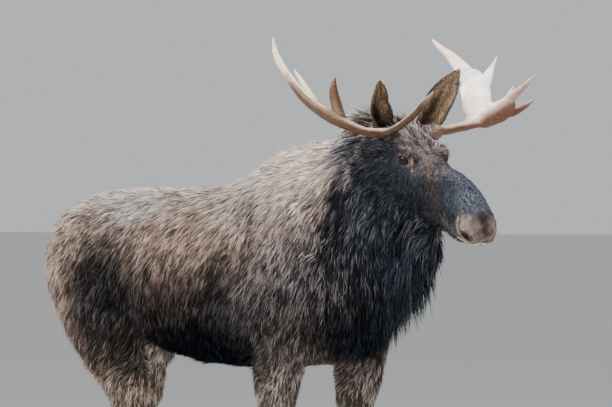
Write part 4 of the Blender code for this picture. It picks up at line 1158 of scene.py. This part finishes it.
# Antlers, in millimetres from the burr: ahead of it, outward, up, half width and half thickness of each limb
# along its line.
SPREAD = np.array((0.72, 0.69, 0.07))  # the way in which the palms are wide
BONE_VOXEL = 0.0024
HORN_VOXEL = 0.0028
BEAM = [(0, -45, -12, 24, 24), (0, -4, -1, 26, 26), (0, 10, 2, 21.5, 21.5), (0, 55, 6, 18.5, 18.5)]
BURR = [(0, -10, 0, 20, 20), (0, 0, 0, 29, 29), (0, 12, 0, 20, 20)]
RIGHT_PALM = [(-4, 71, 5, 18, 17), (-20, 114, 19, 22, 16), (-50, 148, 38, 32, 20), (-90, 179, 62, 44, 23),
              (-150, 204, 98, 58, 23), (-220, 225, 147, 56, 21), (-290, 236, 208, 34, 17),
              (-340, 249, 270, 20, 15), (-380, 252, 324, 14, 13), (-412, 242, 394, 3, 3)]
MIDDLE_PRONG = [(-80, 158, 60, 38, 20), (-94, 168, 106, 32, 22), (-99, 178, 160, 21, 19),
                (-100, 178, 195, 14, 13), (-96, 172, 228, 3, 3)]
LIMBS = {
    "left": [
        BURR,
        BEAM + [(0, 95, 11, 20, 18.5), (0, 150, 20, 27, 18)],
        [(0, 130, 16, 24, 18), (0, 175, 30, 36, 17), (-5, 207, 64, 58, 15), (-33, 227, 125, 60, 13),
         (-72, 250, 170, 61, 12), (-103, 257, 198, 53, 11), (-124, 246, 217, 34, 9),
         (-130, 244, 224, 12, 6)],
        [(-100, 250, 185, 30, 6), (-125, 247, 222, 34, 9), (-150, 242, 252, 29, 12),
         (-220, 243, 300, 21, 13), (-320, 272, 332, 14, 11), (-390, 295, 356, 8, 7), (-425, 307, 368, 3, 3)],
        [(-35, 260, 160, 30, 7), (-42, 292, 210, 23, 10), (-50, 327, 250, 11, 8), (-60, 358, 290, 3, 3)],
        [(0, 130, 16, 22, 18), (30, 195, 36, 33, 18), (83, 239, 60, 38, 16), (114, 261, 88, 37, 14),
         (130, 270, 108, 26, 11), (136, 274, 120, 10, 7)],
        [(10, 236, 120, 12, 8), (26, 244, 98, 15, 11), (56, 254, 96, 15, 12), (88, 262, 110, 12, 9)],
        [(112, 266, 104, 24, 10), (145, 278, 133, 19, 12), (200, 283, 163, 13, 10), (250, 286, 192, 8, 7),
         (280, 286, 210, 3, 3)],
        [(90, 272, 62, 22, 11), (118, 298, 68, 16, 11), (140, 320, 82, 12, 10), (160, 342, 99, 8, 7),
         (174, 355, 112, 3, 3)],
        [(125, 264, 115, 14, 10), (132, 275, 147, 9, 8), (140, 282, 170, 3, 3)],
    ],
    "right": [
        BURR,
        BEAM + [(-8, 85, 10, 19, 17)],
        RIGHT_PALM,
        [(-170, 214, 130, 30, 13), (-195, 232, 176, 22, 11), (-220, 250, 223, 13, 9),
         (-240, 264, 263, 3, 3)],
        MIDDLE_PRONG,
        [(-10, 45, 4, 18, 16), (40, 16, 11, 17, 15), (100, 5, 33, 16, 14), (200, 4, 79, 14, 13),
         (260, 8, 118, 11, 10), (325, 9, 158, 3, 3)],
    ],
}
ANTLER_NODES = {
    "right": ["antler_right_beam", "antler_right_palm", "antler_right_brow_tine"],
    "left": ["antler_left_beam", "antler_left_palm", "antler_left_brow_palm"],
}


def metres(rows):
    """Rows in millimetres as an array in metres."""
    return np.array(rows, float) / 1000


def between(rows, count):
    """count rows on a smooth curve through the given ones."""
    padded = np.concatenate([2 * rows[:1] - rows[1:2], rows, 2 * rows[-1:] - rows[-2:-1]])
    t = np.linspace(0, len(rows) - 1, count)
    i = np.minimum(t.astype(int), len(rows) - 2)
    f = (t - i)[:, None]
    a, b, c, d = (padded[i + k] for k in range(4))
    return 0.5 * (2 * b + (c - a) * f + (2 * a - 5 * b + 4 * c - d) * f**2 + (3 * b - a - 3 * c + d) * f**3)


def limb(rows):
    """A limb of antler: a flat or round rod, as points and faces in the frame of the burr."""
    around = 20
    rows = between(metres(rows), 7 * len(rows))
    centres, half = rows[:, :3], np.maximum(rows[:, 3:], 0.0022)
    ahead = unit(np.gradient(centres, axis=0))
    across = unit(SPREAD - ahead * (ahead @ SPREAD)[:, None])
    beside = np.cross(ahead, across)
    turn = np.arange(around) * 2 * math.pi / around
    x = (np.cos(turn)[None] * half[:, :1])[:, :, None] * across[:, None]
    y = (np.sin(turn)[None] * half[:, 1:])[:, :, None] * beside[:, None]
    verts = (centres[:, None] + x + y).reshape(-1, 3)
    faces = []
    for i in range(len(rows) - 1):
        for j in range(around):
            a, b = around * i + j, around * i + (j + 1) % around
            faces += [(a, b, b + around), (a, b + around, a + around)]
    last = around * (len(rows) - 1)
    for j in range(1, around - 1):
        faces += [(0, j + 1, j), (last, last + j, last + j + 1)]
    return verts, faces


def upper_rim(q, rows):
    """How far points lie toward the upper rim of a palm, from 0 on its face to 1 on the rim."""
    steps = np.arange(len(rows))
    at = along_line(q, rows[:, :3])[1] * steps[-1]
    middle = np.stack([np.interp(at, steps, rows[:, k]) for k in range(3)], 1)
    half = 0.008 + 0.5 * np.minimum(np.interp(at, steps, rows[:, 3]), 0.04)
    return smooth(0.25, 0.6, (q - middle) @ np.array([0.38, -0.54, 0.75]) / half)


def bone_colours(side_name, q, normals, grooves):
    """Painted shade at the burr, a tan beam, painted light from above with a little frost, a bright left
    palm, a painted highlight on the upper rim of the right palm, and cream at the tips.
    """
    far = np.linalg.norm(q, axis=1)
    prongs = smooth(0.24, 0.33, q[:, 0])
    if side_name == "left":
        tan, cream, dark = rgb(0.13, 0.056, 0.032), rgb(0.66, 0.44, 0.28), rgb(0.15, 0.092, 0.058)
        palm = smooth(0.15, 0.23, far) * smooth(-0.01, 0.045, q[:, 2] - 0.7 * np.maximum(q[:, 0], 0.0))
        tips = np.maximum(smooth(0.36, 0.44, far), prongs)
        bright = rgb(0.97, 0.87, 0.82) - smooth(0.0, 0.12, q[:, 0])[:, None] * rgb(0.22, 0.33, 0.38)
        frost_and_top_light = 0.62
    else:
        cream, dark, bright = rgb(0.95, 0.78, 0.55), rgb(0.028, 0.021, 0.018), rgb(0.9, 0.76, 0.58)
        behind = smooth(0.05, 0.0, q[:, 0])
        # On the right antler the bright colour lies only along the upper rim of the palm: a painted highlight
        # where light from above catches it.
        beside_prong = smooth(0.02, 0.038, along_line(q, metres(MIDDLE_PRONG)[1:, :3])[0])
        rim = 0.02 + 0.98 * upper_rim(q, metres(RIGHT_PALM)) * beside_prong
        palm = smooth(0.18, 0.4, far) * behind * rim
        tips = np.maximum(smooth(0.4, 0.53, far), 0.35 * prongs)
        outer = (smooth(0.14, 0.26, far) * behind)[:, None]
        tan = mixed(rgb(0.072, 0.03, 0.013), rgb(0.092, 0.042, 0.017), outer)
        frost_and_top_light = (0.4 + 0.45 * smooth(-0.04, 0.02, q[:, :1])) * (1 - 0.9 * outer)
    # Upward faces are painted paler: painted light from above, with a little frost. The outer face of the
    # right palm gets almost none of it.
    shade = mixed(tan, rgb(0.7, 0.5, 0.41), smooth(-0.2, 0.95, normals[:, 2])[:, None] ** 2 * frost_and_top_light)
    shade = mixed(shade, bright, palm[:, None])
    shade = mixed(shade, cream, tips[:, None] * 0.75)
    # Painted shade where the antler meets the head: dark near the burr on the side toward the skull.
    shade = mixed(shade, dark, (smooth(0.04, 0.012, q[:, 1]) * smooth(0.1, 0.05, far))[:, None])
    mottled = 0.08 * waves(q, 0.04, 63) * np.array([[0.5, 1.0, 1.2]]).T + 0.12 * grooves * (1 - palm)
    return shade * (1 + mottled.T)


def antler(side_name, look):
    """Smooth bone, grooved near the burr."""
    verts, faces = [], []
    for rows in LIMBS[side_name]:
        more, corners = limb(rows)
        faces += [tuple(i + len(verts) for i in face) for face in corners]
        verts += list(more)
    place = "burr_" + side_name
    mesh = melted(mesh_of("antler", placed_out(np.array(verts), place), np.array(faces)), BONE_VOXEL)
    relaxed(mesh, 8)
    co, normals = positions(mesh), vertex_normals(mesh)
    q = local(co, place)
    far = np.linalg.norm(q, axis=1)
    grooves = waves(q * (0.6, 0.25, 0.6), 0.01, 60)
    knobs = hill(q[:, 1], 0, 0.01) * (far < 0.06) * 0.0015 * waves(q, 0.01, 62)
    rough = 0.0007 * grooves * smooth(0.42, 0.05, far) + 0.0003 * waves(q, 0.008, 61) + knobs
    set_positions(mesh, co + normals * rough[:, None])
    paint(mesh, bone_colours(side_name, q, normals, grooves))
    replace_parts(placed(f"antler_{side_name}_bone", mesh, look), *ANTLER_NODES[side_name])


def hoof(name, look):
    """Horn with rounded edges and a flat sole."""
    mesh = melted(welded("hoof", [name]), HORN_VOXEL)
    relaxed(mesh, 4, keep_volume=False)
    co = positions(mesh)
    if name.startswith("hoof"):
        co[:, 2] = np.where(co[:, 2] < 0.005, np.maximum(co[:, 2] - 0.0015, 0.0), co[:, 2])
    set_positions(mesh, co)
    shade = rgb(0.045, 0.038, 0.033) * (1 + 0.35 * waves(co * (1, 1, 3), 0.02, 70))[:, None]
    paint(mesh, shade + smooth(0.02, 0.0, co[:, 2])[:, None] * rgb(0.05, 0.042, 0.034))
    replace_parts(placed(name + "_horn", mesh, look), name)


# ---- stage

VIEW_AZIMUTH = 36.0
VIEW_SPAN = 2.448  # metres across the frame at the middle of the animal
VIEW_BACK = 20.0
VIEW_RIGHT, VIEW_HEIGHT = -0.076, 1.594  # where the camera looks, from the origin of the body
LIGHTS = [  # name, place, size and power
    ("key", (-1.5, -4.5, 7), 4.5, 900),
    ("top", (-0.5, 1, 8), 6, 900),
    ("side", (5, -5, 4), 4, 190),
]


def aim(obj, place, target):
    """Puts a camera or a light at a place, looking at a target."""
    obj.location = place
    obj.rotation_euler = (target - place).to_track_quat("-Z", "Y").to_euler()


def camera():
    """A long lens, level and ahead of the animal's right side."""
    turn = math.radians(VIEW_AZIMUTH)
    right = Vector((math.cos(turn), math.sin(turn), 0))
    back = Vector((math.sin(turn), -math.cos(turn), 0))
    target = BODY_AT + right * VIEW_RIGHT + Vector((0, 0, VIEW_HEIGHT))
    data = bpy.data.cameras.new("camera")
    data.sensor_width = 36.0
    data.lens = data.sensor_width * VIEW_BACK / VIEW_SPAN
    data.clip_end = 2000.0
    bpy.context.scene.camera = linked("camera", data)
    aim(bpy.context.scene.camera, target + back * VIEW_BACK, target)


def floor():
    """A wide pale floor, which is no part of the animal."""
    corners = [(-200, -200, 0), (200, -200, 0), (200, 200, 0), (-200, 200, 0)]
    mesh = mesh_of("floor", np.array(corners), np.array([(0, 1, 2, 3)]))
    material, _, shader = material_of("floor")
    fill(shader, Base_Color=(0.68, 0.68, 0.67, 1), Roughness=0.9)
    mesh.materials.append(material)
    linked("floor", mesh)


def lights():
    """An even sky and three soft lamps."""
    world = bpy.data.worlds.new("studio")
    world.use_nodes = True
    fill(world.node_tree.nodes["Background"], Color=(0.8, 0.82, 0.84, 1), Strength=0.72)
    bpy.context.scene.world = world
    for name, place, size, power in LIGHTS:
        data = bpy.data.lights.new(name, "AREA")
        data.size = size
        data.energy = power
        data.color = (1.0, 0.985, 0.96)
        aim(linked(name, data), Vector(place), Vector((0, 0, 1.3)))


# ---- whole

BODY_SHARE = 0.87  # how much of the width of the map OFBake the body has; the ears have the rest


def whole_skin(look, thin):
    """The skin of body and ears as one piece, with its coat."""
    parts = [body_skin()]
    body = parts[0]
    layer = body.uv_layers["OFBake"].data
    layer.foreach_set("uv", flat(values_of(layer, "uv", 2) * BODY_SHARE))
    for grown in (trunk_coat, long_coat, guard_hairs):
        grown(body, look["hair"], thin)
    points = positions(body)
    # The skin is painted darker where the coat is deep: painted shade under the hair.
    under = 1 - 0.62 * smooth(0.002, 0.012, blended(points, COAT_START, COAT)[:, 0])
    colours = [marked(points)[:, :3] * under[:, None]]
    for number, name in enumerate(EARS):
        ear, place = ear_mesh(name, number)
        ear_hair(ear, name, place, look["hair"], thin)
        colours.append(ear_colours(name, place, positions(ear)))
        parts.append(ear)
    mesh = joined("skin", parts)
    paint(mesh, np.concatenate(colours))
    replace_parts(placed("skin", mesh, look["skin"]), *FLESH, *EARS)


def build():
    """The whole animal."""
    look = materials()
    whole_skin(look, 1.0)
    for name, side in EYES.items():
        eyeball(name, side, look["eye"])
    for side_name in ANTLER_NODES:
        antler(side_name, look["antler"])
    for name in HOOVES:
        hoof(name, look["horn"])


build()
floor()
lights()
camera()
